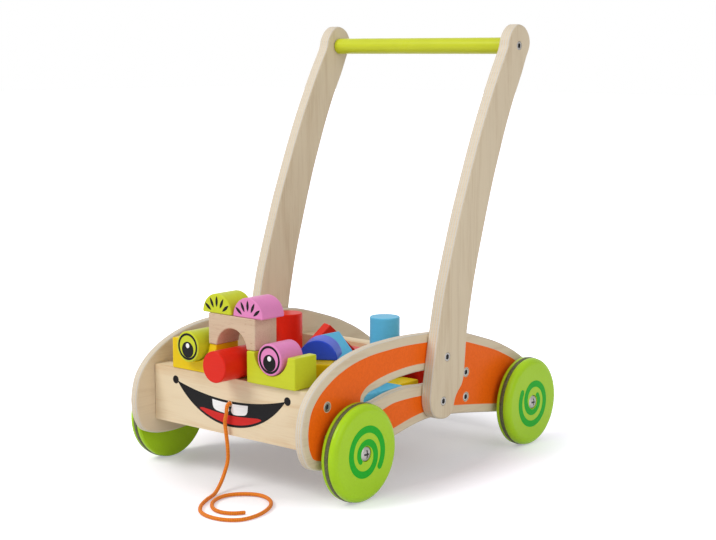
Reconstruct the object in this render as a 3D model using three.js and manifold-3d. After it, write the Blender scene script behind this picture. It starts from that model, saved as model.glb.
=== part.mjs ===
// A wooden baby push walker: a cart on four wheels with a tray of building blocks and an upright push handle.
// The child walks behind it and pushes the bar, or pulls it along by the cord at the front.
// Some of the blocks stand on the front board as a face with two eyes and a nose.
// Lengths are millimetres. +Z is up, the face looks along -Y, and the origin lies on the floor
// under the middle of the cart. Inside the cart, y is counted from the front axle and z from a level
// a little above the floor.
import * as THREE from "three";
import { mergeVertices } from "three/addons/utils/BufferGeometryUtils.js";
import Module from "manifold-3d";

const wasm = await Module();
wasm.setup();

// Clearances
const seatGap = 0.3;
const cutOverrun = 2;

// The level above the floor that heights inside the cart are counted from
const cartLevel = 1;

// Wheels
const wheelBase = 303;
const tyreRadius = 51;
const tyreProud = 0.5;
const tyreWidth = 5.2;
const tyreSeatDepth = 2.4;
const tyreFromInnerFace = 4.4;
const wheelWidth = 17.5;
const wheelFaceRadius = 43;
const wheelEdgeRound = 6.5;
const wheelInnerChamfer = 1.5;
const hubRecessRadius = 8;
const hubRecessDepth = 2;
const wheelSides = 32;

// Axles, their spacers and the screws in their ends
const axleRadius = 4;
const axleEndShort = 0.4;
const spacerRadius = 9;
const spacerWidth = 6.9;
const hubScrewHeadRadius = 7.6;
const hubScrewHeadHeight = 3.2;
const hubScrewShankRadius = 2;
const hubScrewLength = 12;
const hubSlotLength = 7.6;
const hubSlotWidth = 1.6;
const hubSlotDepth = 1.6;

// Side panels of the cart
const cartWidth = 250;
const panelThickness = 10;
const panelLength = 432;
const panelHeight = 119.5;
const panelFootHeight = 34;
const panelAheadOfAxle = 70;
const panelEdge = 3;

// Boards and floor of the tray
const boardThickness = 20;
const boardHeight = 61;
const boardBottom = 53;
const boardAheadOfAxle = 42.5;
const boardEdge = 1;
const trayLength = 217;
const floorThickness = 5.5;
const floorBottom = 75;
const floorTongue = 4;

// Handle posts and bar
const postThickness = 14;
const postHeight = 425;
const postBottom = 57;
const postRake = 181;
const postBehindAxle = 121;
const postEdge = 2.5;
const barRadius = 9.25;
const barBelowPostTop = 24;
const barFromPostBack = 23.5;
const barChamfer = 1;

// Screws with a socket head
const screwHeadRadius = 4.7;
const screwHeadHeight = 2.4;
const screwShankRadius = 2.4;
const screwSocketRadius = 3;
const screwSocketDepth = 1.7;
const boardScrewLength = 36;
const frontScrewSpacing = 33;
const rearScrewSpacing = 28;
const frontScrewsBack = 1.2;
const postScrewLength = 22;
const barScrewLength = 40;
const screwSides = 10;
const boltHeights = [125, 77.3];
const boltsBehindAxle = [150, 143.6];

// Building blocks
const blockWidth = 33;
const blockLong = 67;
const blockHalf = 16.5;
const blockTall = 49.5;
const blockEdge = 1;
const cylinderRadius = 16.5;
const cylinderLong = 66;
const cradleNotchHalf = 23.3;
const cradleNotchDepth = 21.6;
const bridgeArchHalf = 21.3;
const bridgeArchRise = 19.5;
const halfRoundHalf = 21;
const halfRoundRise = 20.8;
const roundSides = 20;
const cradleAheadOfBoard = 0.5;
const noseAheadOfBoard = 28.5;
const noseAside = 5.5;
const cradleFromNose = 6.9;
const leftCradleForward = 0.7;
const leftEyeForward = 10;
const rightCradleForward = 4;
const rightEyeForward = 5.5;
const bridgeForward = 2;
const browAside = 1.3;
const plankGap = 1;

// Pull cord
const cordRadius = 2;
const cordSides = 8;
const cordSteps = 64;
const cordHoleRadius = 2.6;
const cordHoleHeight = 87;
const cordAboveFloor = 0.1;
const knotRadius = 4.6;

// The outline of a side panel, as shares of its length from the nose and of its height from the foot.
const panelOutlineShares = [
  [0, 0.336], [0.001, 0.407], [0.006, 0.497], [0.015, 0.584], [0.032, 0.668], [0.056, 0.748],
  [0.098, 0.842], [0.14, 0.905], [0.182, 0.948], [0.247, 0.985], [0.312, 0.997], [0.382, 1],
  [0.485, 0.982], [0.56, 0.954], [0.625, 0.917], [0.708, 0.833], [0.78, 0.749], [0.822, 0.686],
  [0.862, 0.619], [0.901, 0.54], [0.944, 0.435], [0.977, 0.318], [0.996, 0.18], [0.994, 0.08],
  [0.972, 0.02], [0.93, 0], [0.857, 0.015], [0.777, 0.059], [0.663, 0.125], [0.574, 0.169],
  [0.495, 0.192], [0.425, 0.174], [0.341, 0.12], [0.257, 0.059], [0.178, 0.012], [0.128, 0],
  [0.065, 0.02], [0.025, 0.08], [0.006, 0.2],
];
const panelOutlineSteps = 84;

// The outline of its window, as the same shares.
const windowOutlineShares = [
  [0.225, 0.52], [0.243, 0.572], [0.282, 0.599], [0.345, 0.638], [0.394, 0.648], [0.444, 0.649],
  [0.5, 0.63], [0.53, 0.59], [0.536, 0.55], [0.52, 0.52], [0.465, 0.519], [0.394, 0.54],
  [0.354, 0.535], [0.315, 0.52], [0.257, 0.485], [0.232, 0.492],
];
const windowOutlineSteps = 32;

// The outline of a handle post, as shares of its rake from its front edge and of its height from its foot.
const postOutlineShares = [
  [0.16, 0], [0.105, 0.002], [0.055, 0.009], [0.022, 0.023], [0.004, 0.042], [0, 0.061],
  [0.008, 0.092], [0.032, 0.148], [0.055, 0.201], [0.113, 0.312], [0.165, 0.383], [0.222, 0.453],
  [0.281, 0.523], [0.349, 0.594], [0.418, 0.664], [0.493, 0.735], [0.575, 0.805], [0.66, 0.872],
  [0.717, 0.913], [0.754, 0.941], [0.771, 0.965], [0.807, 0.987], [0.859, 1], [0.917, 0.998],
  [0.967, 0.985], [0.997, 0.962], [0.994, 0.94], [0.96, 0.913], [0.914, 0.872], [0.828, 0.805],
  [0.75, 0.735], [0.681, 0.664], [0.617, 0.594], [0.56, 0.523], [0.507, 0.453], [0.456, 0.383],
  [0.412, 0.312], [0.362, 0.208], [0.345, 0.136], [0.337, 0.102], [0.315, 0.077], [0.274, 0.06],
  [0.249, 0.045], [0.235, 0.027], [0.207, 0.007],
];
const postOutlineSteps = 72;

// Where the loose blocks stand in the tray: shares of its inner width from the left panel and of its
// length from the front board to the middle of the block, and how far each is turned, in degrees.
const yellowPairShares = [0.7635, 0.241];
const blueRoundShares = [0.731, 0.288];
const yellowPairTurn = 31.5;
const supportCubeShares = [0.613, 0.5];
const redRoofShares = [0.443, 0.69];
const redRoofTurn = 65;
const longRedShares = [0.441, 0.765];
const redPillarShares = [0.077, 0.815];
const yellowPlankShares = [0.82, 0.677];
const bluePillarShares = [0.787, 0.716];
const bluePlankAcrossShare = 0.915;
const redCubeShares = [0.85, 0.9];

// Derived places
const axleHeight = tyreRadius * Math.cos(Math.PI / wheelSides) - cartLevel;
const wheelRadius = tyreRadius - tyreProud;
const panelOuterX = cartWidth / 2;
const panelInnerX = panelOuterX - panelThickness;
const wheelInnerX = panelOuterX + spacerWidth + 2 * seatGap;
const wheelOuterX = wheelInnerX + wheelWidth;
const postOuterX = panelOuterX + seatGap + postThickness;
const barHeight = postBottom + postHeight - barBelowPostTop;
const barBehindAxle = postBehindAxle + postRake - barFromPostBack;
const boardTop = boardBottom + boardHeight;
const boardMiddle = boardBottom + boardHeight / 2;
const frontBoardY = -boardAheadOfAxle + boardThickness / 2;
const trayFrontY = -boardAheadOfAxle + boardThickness;
const trayRearY = trayFrontY + trayLength;
const rearBoardY = trayRearY + boardThickness / 2;
const floorTop = floorBottom + floorThickness;
const axleEndX = wheelOuterX - hubRecessDepth - axleEndShort;
const screwClearRadius = screwShankRadius + seatGap;
const axleHoleRadius = axleRadius + seatGap;
const noseFrontY = -boardAheadOfAxle - noseAheadOfBoard;
const cartFrontY = Math.min(noseFrontY, -panelAheadOfAxle);
const cartRearY = panelLength - panelAheadOfAxle;
const cartMiddleY = (cartFrontY + cartRearY) / 2;

// Solids
function solidOf(geometry) {
  const bare = geometry.index ? geometry.toNonIndexed() : geometry.clone();
  bare.deleteAttribute("normal");
  bare.deleteAttribute("uv");
  const merged = mergeVertices(bare);
  const vertProperties = new Float32Array(merged.attributes.position.array);
  const triVerts = new Uint32Array(merged.index.array);
  return new wasm.Manifold(new wasm.Mesh({ numProp: 3, vertProperties, triVerts }));
}

function geometryOf(solid) {
  const mesh = solid.getMesh();
  const geometry = new THREE.BufferGeometry();
  geometry.setAttribute("position", new THREE.BufferAttribute(mesh.vertProperties, 3));
  geometry.setIndex(new THREE.BufferAttribute(mesh.triVerts, 1));
  const flat = geometry.toNonIndexed();
  flat.computeVertexNormals();
  return flat;
}

function cut(geometry, tools) {
  let solid = solidOf(geometry);
  for (const tool of tools) {
    solid = solid.subtract(solidOf(tool));
  }
  return geometryOf(solid);
}

function join(geometries) {
  let solid = solidOf(geometries[0]);
  for (const other of geometries.slice(1)) {
    solid = solid.add(solidOf(other));
  }
  return geometryOf(solid);
}

// A bar of round section along x between two places.
function rodAlongX(radius, fromX, toX, y, z, sides) {
  const geometry = new THREE.CylinderGeometry(radius, radius, Math.abs(toX - fromX), sides);
  geometry.rotateZ(Math.PI / 2);
  geometry.translate((fromX + toX) / 2, y, z);
  return geometry;
}

function rodAlongY(radius, fromY, toY, x, z, sides) {
  const geometry = new THREE.CylinderGeometry(radius, radius, Math.abs(toY - fromY), sides);
  geometry.translate(x, (fromY + toY) / 2, z);
  return geometry;
}

function boxBetween(low, high) {
  const size = high.map((value, i) => value - low[i]);
  const geometry = new THREE.BoxGeometry(...size);
  geometry.translate(...high.map((value, i) => (value + low[i]) / 2));
  return geometry;
}

// A body turned round x from a profile of [radius, distance from the outer face] that closes on itself.
// The outer face looks along the side's x direction and stands at x = 0.
function turned(profile, sides, side) {
  const points = profile.map(([radius, depth]) => new THREE.Vector2(radius, depth));
  const geometry = new THREE.LatheGeometry(points, sides, Math.PI / sides);
  geometry.rotateZ((side * Math.PI) / 2);
  return geometry;
}

// A smooth closed outline through places given as shares of a length and a height.
function outlineThrough(shares, length, height, steps) {
  const places = shares.map(([along, up]) => new THREE.Vector3(along * length, up * height, 0));
  const curve = new THREE.CatmullRomCurve3(places, true, "centripetal");
  const points = curve.getSpacedPoints(steps).slice(0, steps);
  return points.map((point) => new THREE.Vector2(point.x, point.y));
}

// A sheet of wood with eased edges: the outline lies in y and z, and the thickness runs along x
// from 0 towards +x.
function sheetAlongX(shape, thickness, edge) {
  const geometry = new THREE.ExtrudeGeometry(shape, {
    depth: thickness - 2 * edge,
    bevelThickness: edge,
    bevelSize: edge,
    bevelOffset: -edge,
    bevelSegments: 2,
    curveSegments: roundSides,
  });
  geometry.translate(0, 0, edge);
  const turn = new THREE.Matrix4().makeBasis(
    new THREE.Vector3(0, 1, 0),
    new THREE.Vector3(0, 0, 1),
    new THREE.Vector3(1, 0, 0),
  );
  return geometry.applyMatrix4(turn);
}

// A block whose section stands in x and z and runs along y, centred on y = 0.
function blockAlongY(shape, depth) {
  const geometry = new THREE.ExtrudeGeometry(shape, {
    depth: depth - 2 * blockEdge,
    bevelThickness: blockEdge,
    bevelSize: blockEdge,
    bevelOffset: -blockEdge,
    bevelSegments: 1,
    curveSegments: roundSides / 2,
  });
  geometry.translate(0, 0, blockEdge - depth / 2);
  return geometry.rotateX(Math.PI / 2);
}

// Materials, one for each finish
function wood(color) {
  return new THREE.MeshStandardMaterial({ color, roughness: 0.62, metalness: 0 });
}

function lacquer(color) {
  return new THREE.MeshStandardMaterial({ color, roughness: 0.38, metalness: 0 });
}

function steel() {
  return new THREE.MeshStandardMaterial({ color: "#b8b9ba", roughness: 0.32, metalness: 1 });
}

function rubber() {
  return new THREE.MeshStandardMaterial({ color: "#2c302a", roughness: 0.8, metalness: 0 });
}

function braid() {
  return new THREE.MeshStandardMaterial({ color: "#ee7a20", roughness: 0.85, metalness: 0 });
}

const plywoodColor = "#dccfb4";
const pineColor = "#e6cfa6";
const beechColor = "#dcbd9c";
const limeColor = "#9bc630";
const leafColor = "#cddc3c";
const barColor = "#cdd73c";
const yellowColor = "#ebcd14";
const redColor = "#e83a2c";
const pinkColor = "#eb96cd";
const skyColor = "#64b9d7";
const blueColor = "#3238a8";

const walker = new THREE.Group();
const cart = new THREE.Group();
cart.position.set(0, -cartMiddleY, cartLevel);
walker.add(cart);

function add(name, geometry, material, x = 0, y = 0, z = 0, turn = 0) {
  const mesh = new THREE.Mesh(geometry, material);
  mesh.name = name;
  mesh.position.set(x, y, z);
  mesh.rotation.z = THREE.MathUtils.degToRad(turn);
  cart.add(mesh);
}

const sides = [
  { word: "left", sign: -1 },
  { word: "right", sign: 1 },
];
const axles = [
  { word: "front", y: 0 },
  { word: "rear", y: wheelBase },
];
function screwHeights(spacing) {
  return [boardMiddle + spacing / 2, boardMiddle - spacing / 2];
}

const boards = [
  {
    word: "front", y: frontBoardY, screwY: frontBoardY + frontScrewsBack,
    heights: screwHeights(frontScrewSpacing),
  },
  { word: "rear", y: rearBoardY, screwY: rearBoardY, heights: screwHeights(rearScrewSpacing) },
];

// A screw hole along x with the recess for its head, from the outer face inwards.
function screwHole(outerX, depth, y, z) {
  const outward = Math.sign(outerX);
  const shank = rodAlongX(
    screwClearRadius, outerX + outward * cutOverrun, outerX - outward * depth, y, z, screwSides,
  );
  const recess = rodAlongX(
    screwHeadRadius + seatGap, outerX + outward * cutOverrun,
    outerX - outward * (screwHeadHeight + seatGap), y, z, screwSides,
  );
  return join([shank, recess]);
}

// Side panels
function sidePanel(sign) {
  const shape = new THREE.Shape(
    outlineThrough(panelOutlineShares, panelLength, panelHeight, panelOutlineSteps),
  );
  const opening = outlineThrough(windowOutlineShares, panelLength, panelHeight, windowOutlineSteps);
  shape.holes.push(new THREE.Path(opening.reverse()));
  const panel = sheetAlongX(shape, panelThickness, panelEdge);
  panel.translate(sign > 0 ? panelInnerX : -panelOuterX, -panelAheadOfAxle, panelFootHeight);
  const outerX = sign * panelOuterX;
  const through = panelThickness + cutOverrun;
  const tools = [];
  for (const board of boards) {
    for (const z of board.heights) {
      tools.push(screwHole(outerX, through, board.screwY, z));
    }
  }
  for (const axle of axles) {
    tools.push(
      rodAlongX(
        axleHoleRadius, outerX + sign * cutOverrun, outerX - sign * through,
        axle.y, axleHeight, roundSides,
      ),
    );
  }
  boltHeights.forEach((z, i) => {
    const inner = outerX - sign * (postScrewLength - postThickness);
    tools.push(
      rodAlongX(
        screwClearRadius, outerX + sign * cutOverrun, inner - sign * seatGap,
        boltsBehindAxle[i], z, screwSides,
      ),
    );
  });
  return cut(panel, tools);
}

// Boards across the tray
function boardBlank() {
  const width = 2 * (panelInnerX - seatGap);
  const section = new THREE.Shape();
  const half = boardThickness / 2;
  section.moveTo(-half, boardBottom);
  section.lineTo(half, boardBottom);
  section.lineTo(half, boardTop);
  section.lineTo(-half, boardTop);
  const board = sheetAlongX(section, width, boardEdge);
  return board.translate(-width / 2, 0, 0);
}

function trayBoard(board) {
  const inward = Math.sign(trayFrontY + trayLength / 2 - board.y);
  const tools = [];
  const endX = panelInnerX - seatGap;
  const depth = boardScrewLength + seatGap - panelThickness;
  for (const side of sides) {
    for (const z of board.heights) {
      tools.push(
        rodAlongX(
          screwClearRadius, side.sign * (endX + cutOverrun), side.sign * (panelInnerX - depth),
          board.screwY - board.y, z, screwSides,
        ),
      );
    }
  }
  const faceY = (inward * boardThickness) / 2;
  const grooveY = [faceY + inward * cutOverrun, faceY - inward * floorTongue].sort((a, b) => a - b);
  tools.push(
    boxBetween(
      [-endX - cutOverrun, grooveY[0], floorBottom - seatGap],
      [endX + cutOverrun, grooveY[1], floorTop + seatGap],
    ),
  );
  if (board.word === "front") {
    const reach = boardThickness / 2 + cutOverrun;
    tools.push(rodAlongY(cordHoleRadius, -reach, reach, 0, cordHoleHeight, screwSides));
  }
  return cut(boardBlank(), tools);
}

function trayFloor() {
  const reach = panelInnerX - seatGap;
  const tongue = floorTongue - seatGap;
  return boxBetween(
    [-reach, trayFrontY - tongue, floorBottom],
    [reach, trayRearY + tongue, floorTop],
  );
}

// Handle
function handlePost(sign) {
  const shape = new THREE.Shape(
    outlineThrough(postOutlineShares, postRake, postHeight, postOutlineSteps),
  );
  const post = sheetAlongX(shape, postThickness, postEdge);
  post.translate(sign > 0 ? postOuterX - postThickness : -postOuterX, postBehindAxle, postBottom);
  const outerX = sign * postOuterX;
  const through = postThickness + cutOverrun;
  const tools = boltHeights.map((z, i) => screwHole(outerX, through, boltsBehindAxle[i], z));
  tools.push(screwHole(outerX, through, barBehindAxle, barHeight));
  return cut(post, tools);
}

function handleBar() {
  const half = postOuterX - postThickness - seatGap;
  const profile = [
    [0, 0], [barRadius - barChamfer, 0], [barRadius, barChamfer],
    [barRadius, 2 * half - barChamfer], [barRadius - barChamfer, 2 * half], [0, 2 * half],
  ];
  const bar = turned(profile, roundSides, 1);
  bar.translate(half, 0, 0);
  const depth = barScrewLength - postThickness;
  const tools = sides.map((side) =>
    rodAlongX(
      screwClearRadius, side.sign * (half + cutOverrun), side.sign * (half - depth),
      0, 0, screwSides,
    ),
  );
  return cut(bar, tools);
}

// Fasteners: the head's outer face stands at x = 0 and the shank runs inwards.
function socketScrew(length, sign) {
  const profile = [
    [0, 0], [screwHeadRadius, 0], [screwHeadRadius, screwHeadHeight],
    [screwShankRadius, screwHeadHeight], [screwShankRadius, length], [0, length],
  ];
  const body = turned(profile, screwSides, sign);
  const hexSides = 6;
  const socket = rodAlongX(
    screwSocketRadius, sign * cutOverrun, -sign * screwSocketDepth, 0, 0, hexSides,
  );
  return cut(body, [socket]);
}

function hubScrew(sign) {
  const rise = hubScrewHeadHeight / 2;
  const shoulder = hubScrewHeadRadius * Math.cos(Math.PI / 4);
  const profile = [
    [0, 0], [shoulder, rise / 2], [hubScrewHeadRadius, 2 * rise - rise / 2],
    [hubScrewHeadRadius, hubScrewHeadHeight], [hubScrewShankRadius, hubScrewHeadHeight],
    [hubScrewShankRadius, hubScrewHeadHeight + hubScrewLength], [0, hubScrewHeadHeight + hubScrewLength],
  ];
  const body = turned(profile, roundSides, sign);
  const reach = hubSlotLength / 2;
  const half = hubSlotWidth / 2;
  const slots = [[reach, half], [half, reach]].map(([alongY, alongZ]) => {
    const faces = [sign * cutOverrun, -sign * hubSlotDepth].sort((a, b) => a - b);
    return boxBetween([faces[0], -alongY, -alongZ], [faces[1], alongY, alongZ]);
  });
  return cut(body, slots);
}

// Wheels
function wheel(sign) {
  const bore = axleHoleRadius;
  const seat = wheelRadius - tyreSeatDepth;
  const seatEnd = wheelWidth - tyreFromInnerFace;
  const seatStart = seatEnd - tyreWidth - 2 * seatGap;
  const roundFaces = 3;
  const rounding = [];
  for (let i = 0; i <= roundFaces; i += 1) {
    const angle = (i / roundFaces) * (Math.PI / 2);
    rounding.push([
      wheelFaceRadius + (wheelRadius - wheelFaceRadius) * Math.sin(angle),
      wheelEdgeRound * (1 - Math.cos(angle)),
    ]);
  }
  const profile = [
    [bore, hubRecessDepth], [hubRecessRadius, hubRecessDepth], [hubRecessRadius, 0],
    ...rounding,
    [wheelRadius, seatStart], [seat, seatStart], [seat, seatEnd], [wheelRadius, seatEnd],
    [wheelRadius, wheelWidth - wheelInnerChamfer], [wheelRadius - wheelInnerChamfer, wheelWidth],
    [bore, wheelWidth], [bore, hubRecessDepth],
  ];
  return turned(profile, wheelSides, sign);
}

function tyre(sign) {
  const inner = wheelRadius - tyreSeatDepth + seatGap;
  const start = wheelWidth - tyreFromInnerFace - tyreWidth - seatGap;
  const profile = [
    [inner, start], [tyreRadius, start], [tyreRadius, start + tyreWidth],
    [inner, start + tyreWidth], [inner, start],
  ];
  return turned(profile, wheelSides, sign);
}

function spacer(sign) {
  const profile = [
    [axleHoleRadius, 0], [spacerRadius, 0], [spacerRadius, spacerWidth], [axleHoleRadius, spacerWidth],
    [axleHoleRadius, 0],
  ];
  return turned(profile, roundSides, sign);
}

function axle() {
  const rod = rodAlongX(axleRadius, -axleEndX, axleEndX, 0, 0, roundSides);
  const depth = hubScrewLength + 2 * seatGap;
  const tools = sides.map((side) =>
    rodAlongX(
      hubScrewShankRadius + seatGap, side.sign * (axleEndX + cutOverrun),
      side.sign * (axleEndX - depth), 0, 0, roundSides,
    ),
  );
  return cut(rod, tools);
}

// A round stretch of an outline, from its half width and its rise: its radius, the height of its centre
// over its ends and the angle where it starts.
function arch(half, rise) {
  const radius = (half * half + rise * rise) / (2 * rise);
  const centre = rise - radius;
  return { radius, centre, start: Math.asin(-centre / radius) };
}

// Building blocks: each stands on z = 0 and is centred on x and y.
function boxBlock(width, depth, height) {
  const shape = new THREE.Shape();
  const half = width / 2;
  shape.moveTo(-half, 0);
  shape.lineTo(half, 0);
  shape.lineTo(half, height);
  shape.lineTo(-half, height);
  return blockAlongY(shape, depth);
}

function cradleBlock() {
  const shape = new THREE.Shape();
  const half = blockLong / 2;
  const notch = arch(cradleNotchHalf, cradleNotchDepth);
  shape.moveTo(-half, 0);
  shape.lineTo(half, 0);
  shape.lineTo(half, blockWidth);
  shape.lineTo(cradleNotchHalf, blockWidth);
  shape.absarc(0, blockWidth - notch.centre, notch.radius, -notch.start, Math.PI + notch.start, true);
  shape.lineTo(-half, blockWidth);
  return blockAlongY(shape, blockWidth);
}

function bridgeBlock() {
  const shape = new THREE.Shape();
  const half = blockLong / 2;
  const opening = arch(bridgeArchHalf, bridgeArchRise);
  shape.moveTo(-half, 0);
  shape.lineTo(-bridgeArchHalf, 0);
  shape.absarc(0, opening.centre, opening.radius, Math.PI - opening.start, opening.start, true);
  shape.lineTo(half, 0);
  shape.lineTo(half, blockWidth);
  shape.lineTo(-half, blockWidth);
  return blockAlongY(shape, blockWidth);
}

function halfRoundBlock() {
  const shape = new THREE.Shape();
  const top = arch(halfRoundHalf, halfRoundRise);
  shape.absarc(0, top.centre, top.radius, top.start, Math.PI - top.start, false);
  return blockAlongY(shape, blockWidth);
}

function roofBlock(base, height, depth) {
  const shape = new THREE.Shape();
  shape.moveTo(-base / 2, 0);
  shape.lineTo(base / 2, 0);
  shape.lineTo(0, height);
  return blockAlongY(shape, depth);
}

function roundBlock(length) {
  const profile = [
    [0, 0], [cylinderRadius - blockEdge, 0], [cylinderRadius, blockEdge],
    [cylinderRadius, length - blockEdge], [cylinderRadius - blockEdge, length], [0, length],
  ];
  const points = profile.map(([radius, height]) => new THREE.Vector2(radius, height));
  return new THREE.LatheGeometry(points, roundSides, Math.PI / roundSides);
}

function standingRound(length) {
  return roundBlock(length).rotateX(Math.PI / 2);
}

function lyingRound(length) {
  const geometry = roundBlock(length);
  const restHeight = cylinderRadius * Math.cos(Math.PI / roundSides);
  geometry.translate(0, -length / 2, restHeight);
  return geometry;
}

// The pull cord: a knot behind the front board, the hole, the drop and the loop on the floor.
// Its route was chosen by hand: places [x, y, z] down to the floor, and then places [x, y] on it.
const cordHangs = [
  [0, -16.5, 87], [0, -24, 87], [0, -33, 87], [0, -43, 87], [0, -46, 85.9], [-0.2, -47.2, 83],
  [-1, -47, 77], [-3.2, -47, 68], [-1.6, -47, 55], [0.4, -47, 40], [0.8, -47.5, 27],
  [3.8, -55.5, 15.7], [8.6, -67, 6.7],
];
const cordLies = [
  [14.3, -80.5], [23.5, -101], [35, -120.5], [50, -134.5], [67.5, -139.5], [85, -136.5],
  [96.5, -126.5], [99.5, -111], [95.5, -91], [84.5, -71], [68.5, -58], [51.5, -55], [37, -63],
  [28.5, -76], [28.5, -89.5], [34.5, -103], [44.5, -114], [56, -120.5], [67.5, -121],
  [77, -116], [83.2, -107.4],
];

function cordCurve() {
  const onFloor = cordRadius + cordAboveFloor - cartLevel;
  const places = cordHangs.map((place) => new THREE.Vector3(...place));
  places.push(...cordLies.map(([x, y]) => new THREE.Vector3(x, y, onFloor)));
  return new THREE.CatmullRomCurve3(places, false, "centripetal");
}

function pullCord() {
  const section = new THREE.Shape();
  for (let i = 0; i < cordSides; i += 1) {
    const angle = ((i + 1 / 2) / cordSides) * 2 * Math.PI;
    const corner = [cordRadius * Math.cos(angle), cordRadius * Math.sin(angle)];
    if (i === 0) section.moveTo(...corner);
    else section.lineTo(...corner);
  }
  const tube = new THREE.ExtrudeGeometry(section, { steps: cordSteps, extrudePath: cordCurve() });
  const knotSides = 10;
  const knot = new THREE.SphereGeometry(knotRadius, knotSides, knotSides / 2);
  knot.translate(...cordHangs[0]);
  return join([tube, knot]);
}

// Assembly of the cart
for (const { word, sign } of sides) {
  add(`side_panel_${word}`, sidePanel(sign), wood(plywoodColor));
  add(`handle_post_${word}`, handlePost(sign), wood(plywoodColor));
  boltHeights.forEach((z, i) => {
    const name = `post_bolt_${word}_${i === 0 ? "upper" : "lower"}`;
    add(name, socketScrew(postScrewLength, sign), steel(), sign * postOuterX, boltsBehindAxle[i], z);
  });
  add(
    `bar_screw_${word}`, socketScrew(barScrewLength, sign), steel(),
    sign * postOuterX, barBehindAxle, barHeight,
  );
}
add("handle_bar", handleBar(), lacquer(barColor), 0, barBehindAxle, barHeight);

for (const board of boards) {
  add(`${board.word}_board`, trayBoard(board), wood(pineColor), 0, board.y, 0);
  for (const { word, sign } of sides) {
    board.heights.forEach((z, i) => {
      const name = `${board.word}_board_screw_${word}_${i === 0 ? "upper" : "lower"}`;
      add(name, socketScrew(boardScrewLength, sign), steel(), sign * panelOuterX, board.screwY, z);
    });
  }
}
add("tray_floor", trayFloor(), wood(plywoodColor));

for (const { word: end, y } of axles) {
  add(`${end}_axle`, axle(), steel(), 0, y, axleHeight);
  for (const { word, sign } of sides) {
    add(`${end}_wheel_${word}`, wheel(sign), lacquer(limeColor), sign * wheelOuterX, y, axleHeight);
    add(`${end}_tyre_${word}`, tyre(sign), rubber(), sign * wheelOuterX, y, axleHeight);
    add(
      `${end}_spacer_${word}`, spacer(sign), wood(beechColor),
      sign * (wheelInnerX - seatGap), y, axleHeight,
    );
    add(
      `${end}_hub_screw_${word}`, hubScrew(sign), steel(),
      sign * (axleEndX + axleEndShort + seatGap + hubScrewHeadHeight), y, axleHeight,
    );
  }
}
add("pull_cord", pullCord(), braid());

// Blocks that make the face, on top of the front board
const faceZ = boardTop + seatGap;
const faceY = -boardAheadOfAxle - cradleAheadOfBoard + blockWidth / 2;
const cradleTop = faceZ + blockWidth;
const eyeZ = cradleTop - cradleNotchDepth + seatGap;
const bridgeZ = cradleTop + seatGap;
const browZ = bridgeZ + blockWidth + seatGap;
const browOffset = halfRoundHalf + seatGap + blockEdge;
const face = [
  { word: "left", sign: -1, forward: leftCradleForward, eyeForward: leftEyeForward,
    cradle: yellowColor, round: leafColor },
  { word: "right", sign: 1, forward: rightCradleForward, eyeForward: rightEyeForward,
    cradle: leafColor, round: pinkColor },
];
for (const { word, sign, forward, eyeForward, cradle, round } of face) {
  const x = noseAside + sign * (cylinderRadius + cradleFromNose + blockLong / 2);
  add(`cradle_block_${word}`, cradleBlock(), lacquer(cradle), x, faceY - forward, faceZ);
  add(`eye_block_${word}`, lyingRound(blockWidth), lacquer(round), x, faceY - eyeForward, eyeZ);
  add(
    `half_round_${word}`, halfRoundBlock(), lacquer(round),
    noseAside + browAside + sign * browOffset, faceY - bridgeForward, browZ,
  );
}
const noseY = noseFrontY + cylinderLong / 2;
add("nose_block", lyingRound(cylinderLong), lacquer(redColor), noseAside, noseY, faceZ);
add("bridge_block", bridgeBlock(), wood(beechColor), noseAside, faceY - bridgeForward, bridgeZ);

// Blocks that lie loose in the tray
const trayZ = floorTop + seatGap;
const secondZ = trayZ + blockWidth + seatGap;

function traySpot([across, along]) {
  return [-panelInnerX + across * 2 * panelInnerX, trayFrontY + along * trayLength];
}

// The blue plank lies in front of the yellow one.
const yellowPlankSpot = traySpot(yellowPlankShares);
const bluePlankSpot = [
  traySpot([bluePlankAcrossShare, 0])[0], yellowPlankSpot[1] - (blockWidth + blockLong) / 2 - plankGap,
];

const trayBlocks = [
  ["tall_block_yellow", boxBlock(blockWidth, blockTall, blockTall), yellowColor,
    traySpot(yellowPairShares), trayZ, yellowPairTurn],
  ["half_round_blue", halfRoundBlock(), blueColor, traySpot(blueRoundShares),
    trayZ + blockTall + seatGap, yellowPairTurn],
  ["cube_natural", boxBlock(blockWidth, blockWidth, blockWidth), beechColor,
    traySpot(supportCubeShares), trayZ, 0],
  ["roof_block_blue", roofBlock(2 * blockWidth, blockWidth, blockWidth), skyColor,
    traySpot(supportCubeShares), secondZ, 0],
  ["long_block_red", boxBlock(blockWidth, blockLong, blockWidth), redColor, traySpot(longRedShares),
    trayZ, 0],
  ["roof_block_red", roofBlock(blockLong, blockWidth, blockHalf), redColor, traySpot(redRoofShares),
    secondZ, redRoofTurn],
  ["pillar_block_red", standingRound(cylinderLong), redColor, traySpot(redPillarShares), trayZ, 0],
  ["plank_yellow", boxBlock(blockLong, blockWidth, blockHalf), yellowColor, yellowPlankSpot, trayZ, 0],
  ["pillar_block_blue", standingRound(cylinderLong), skyColor, traySpot(bluePillarShares),
    trayZ + blockHalf + seatGap, 0],
  ["plank_blue", boxBlock(blockWidth, blockLong, blockHalf), skyColor, bluePlankSpot, trayZ, 0],
  ["cube_red", boxBlock(blockWidth, blockWidth, blockWidth), redColor, traySpot(redCubeShares), trayZ, 0],
];
for (const [name, geometry, color, [x, y], z, turn] of trayBlocks) {
  add(name, geometry, lacquer(color), x, y, z, turn);
}

export default walker;
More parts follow.
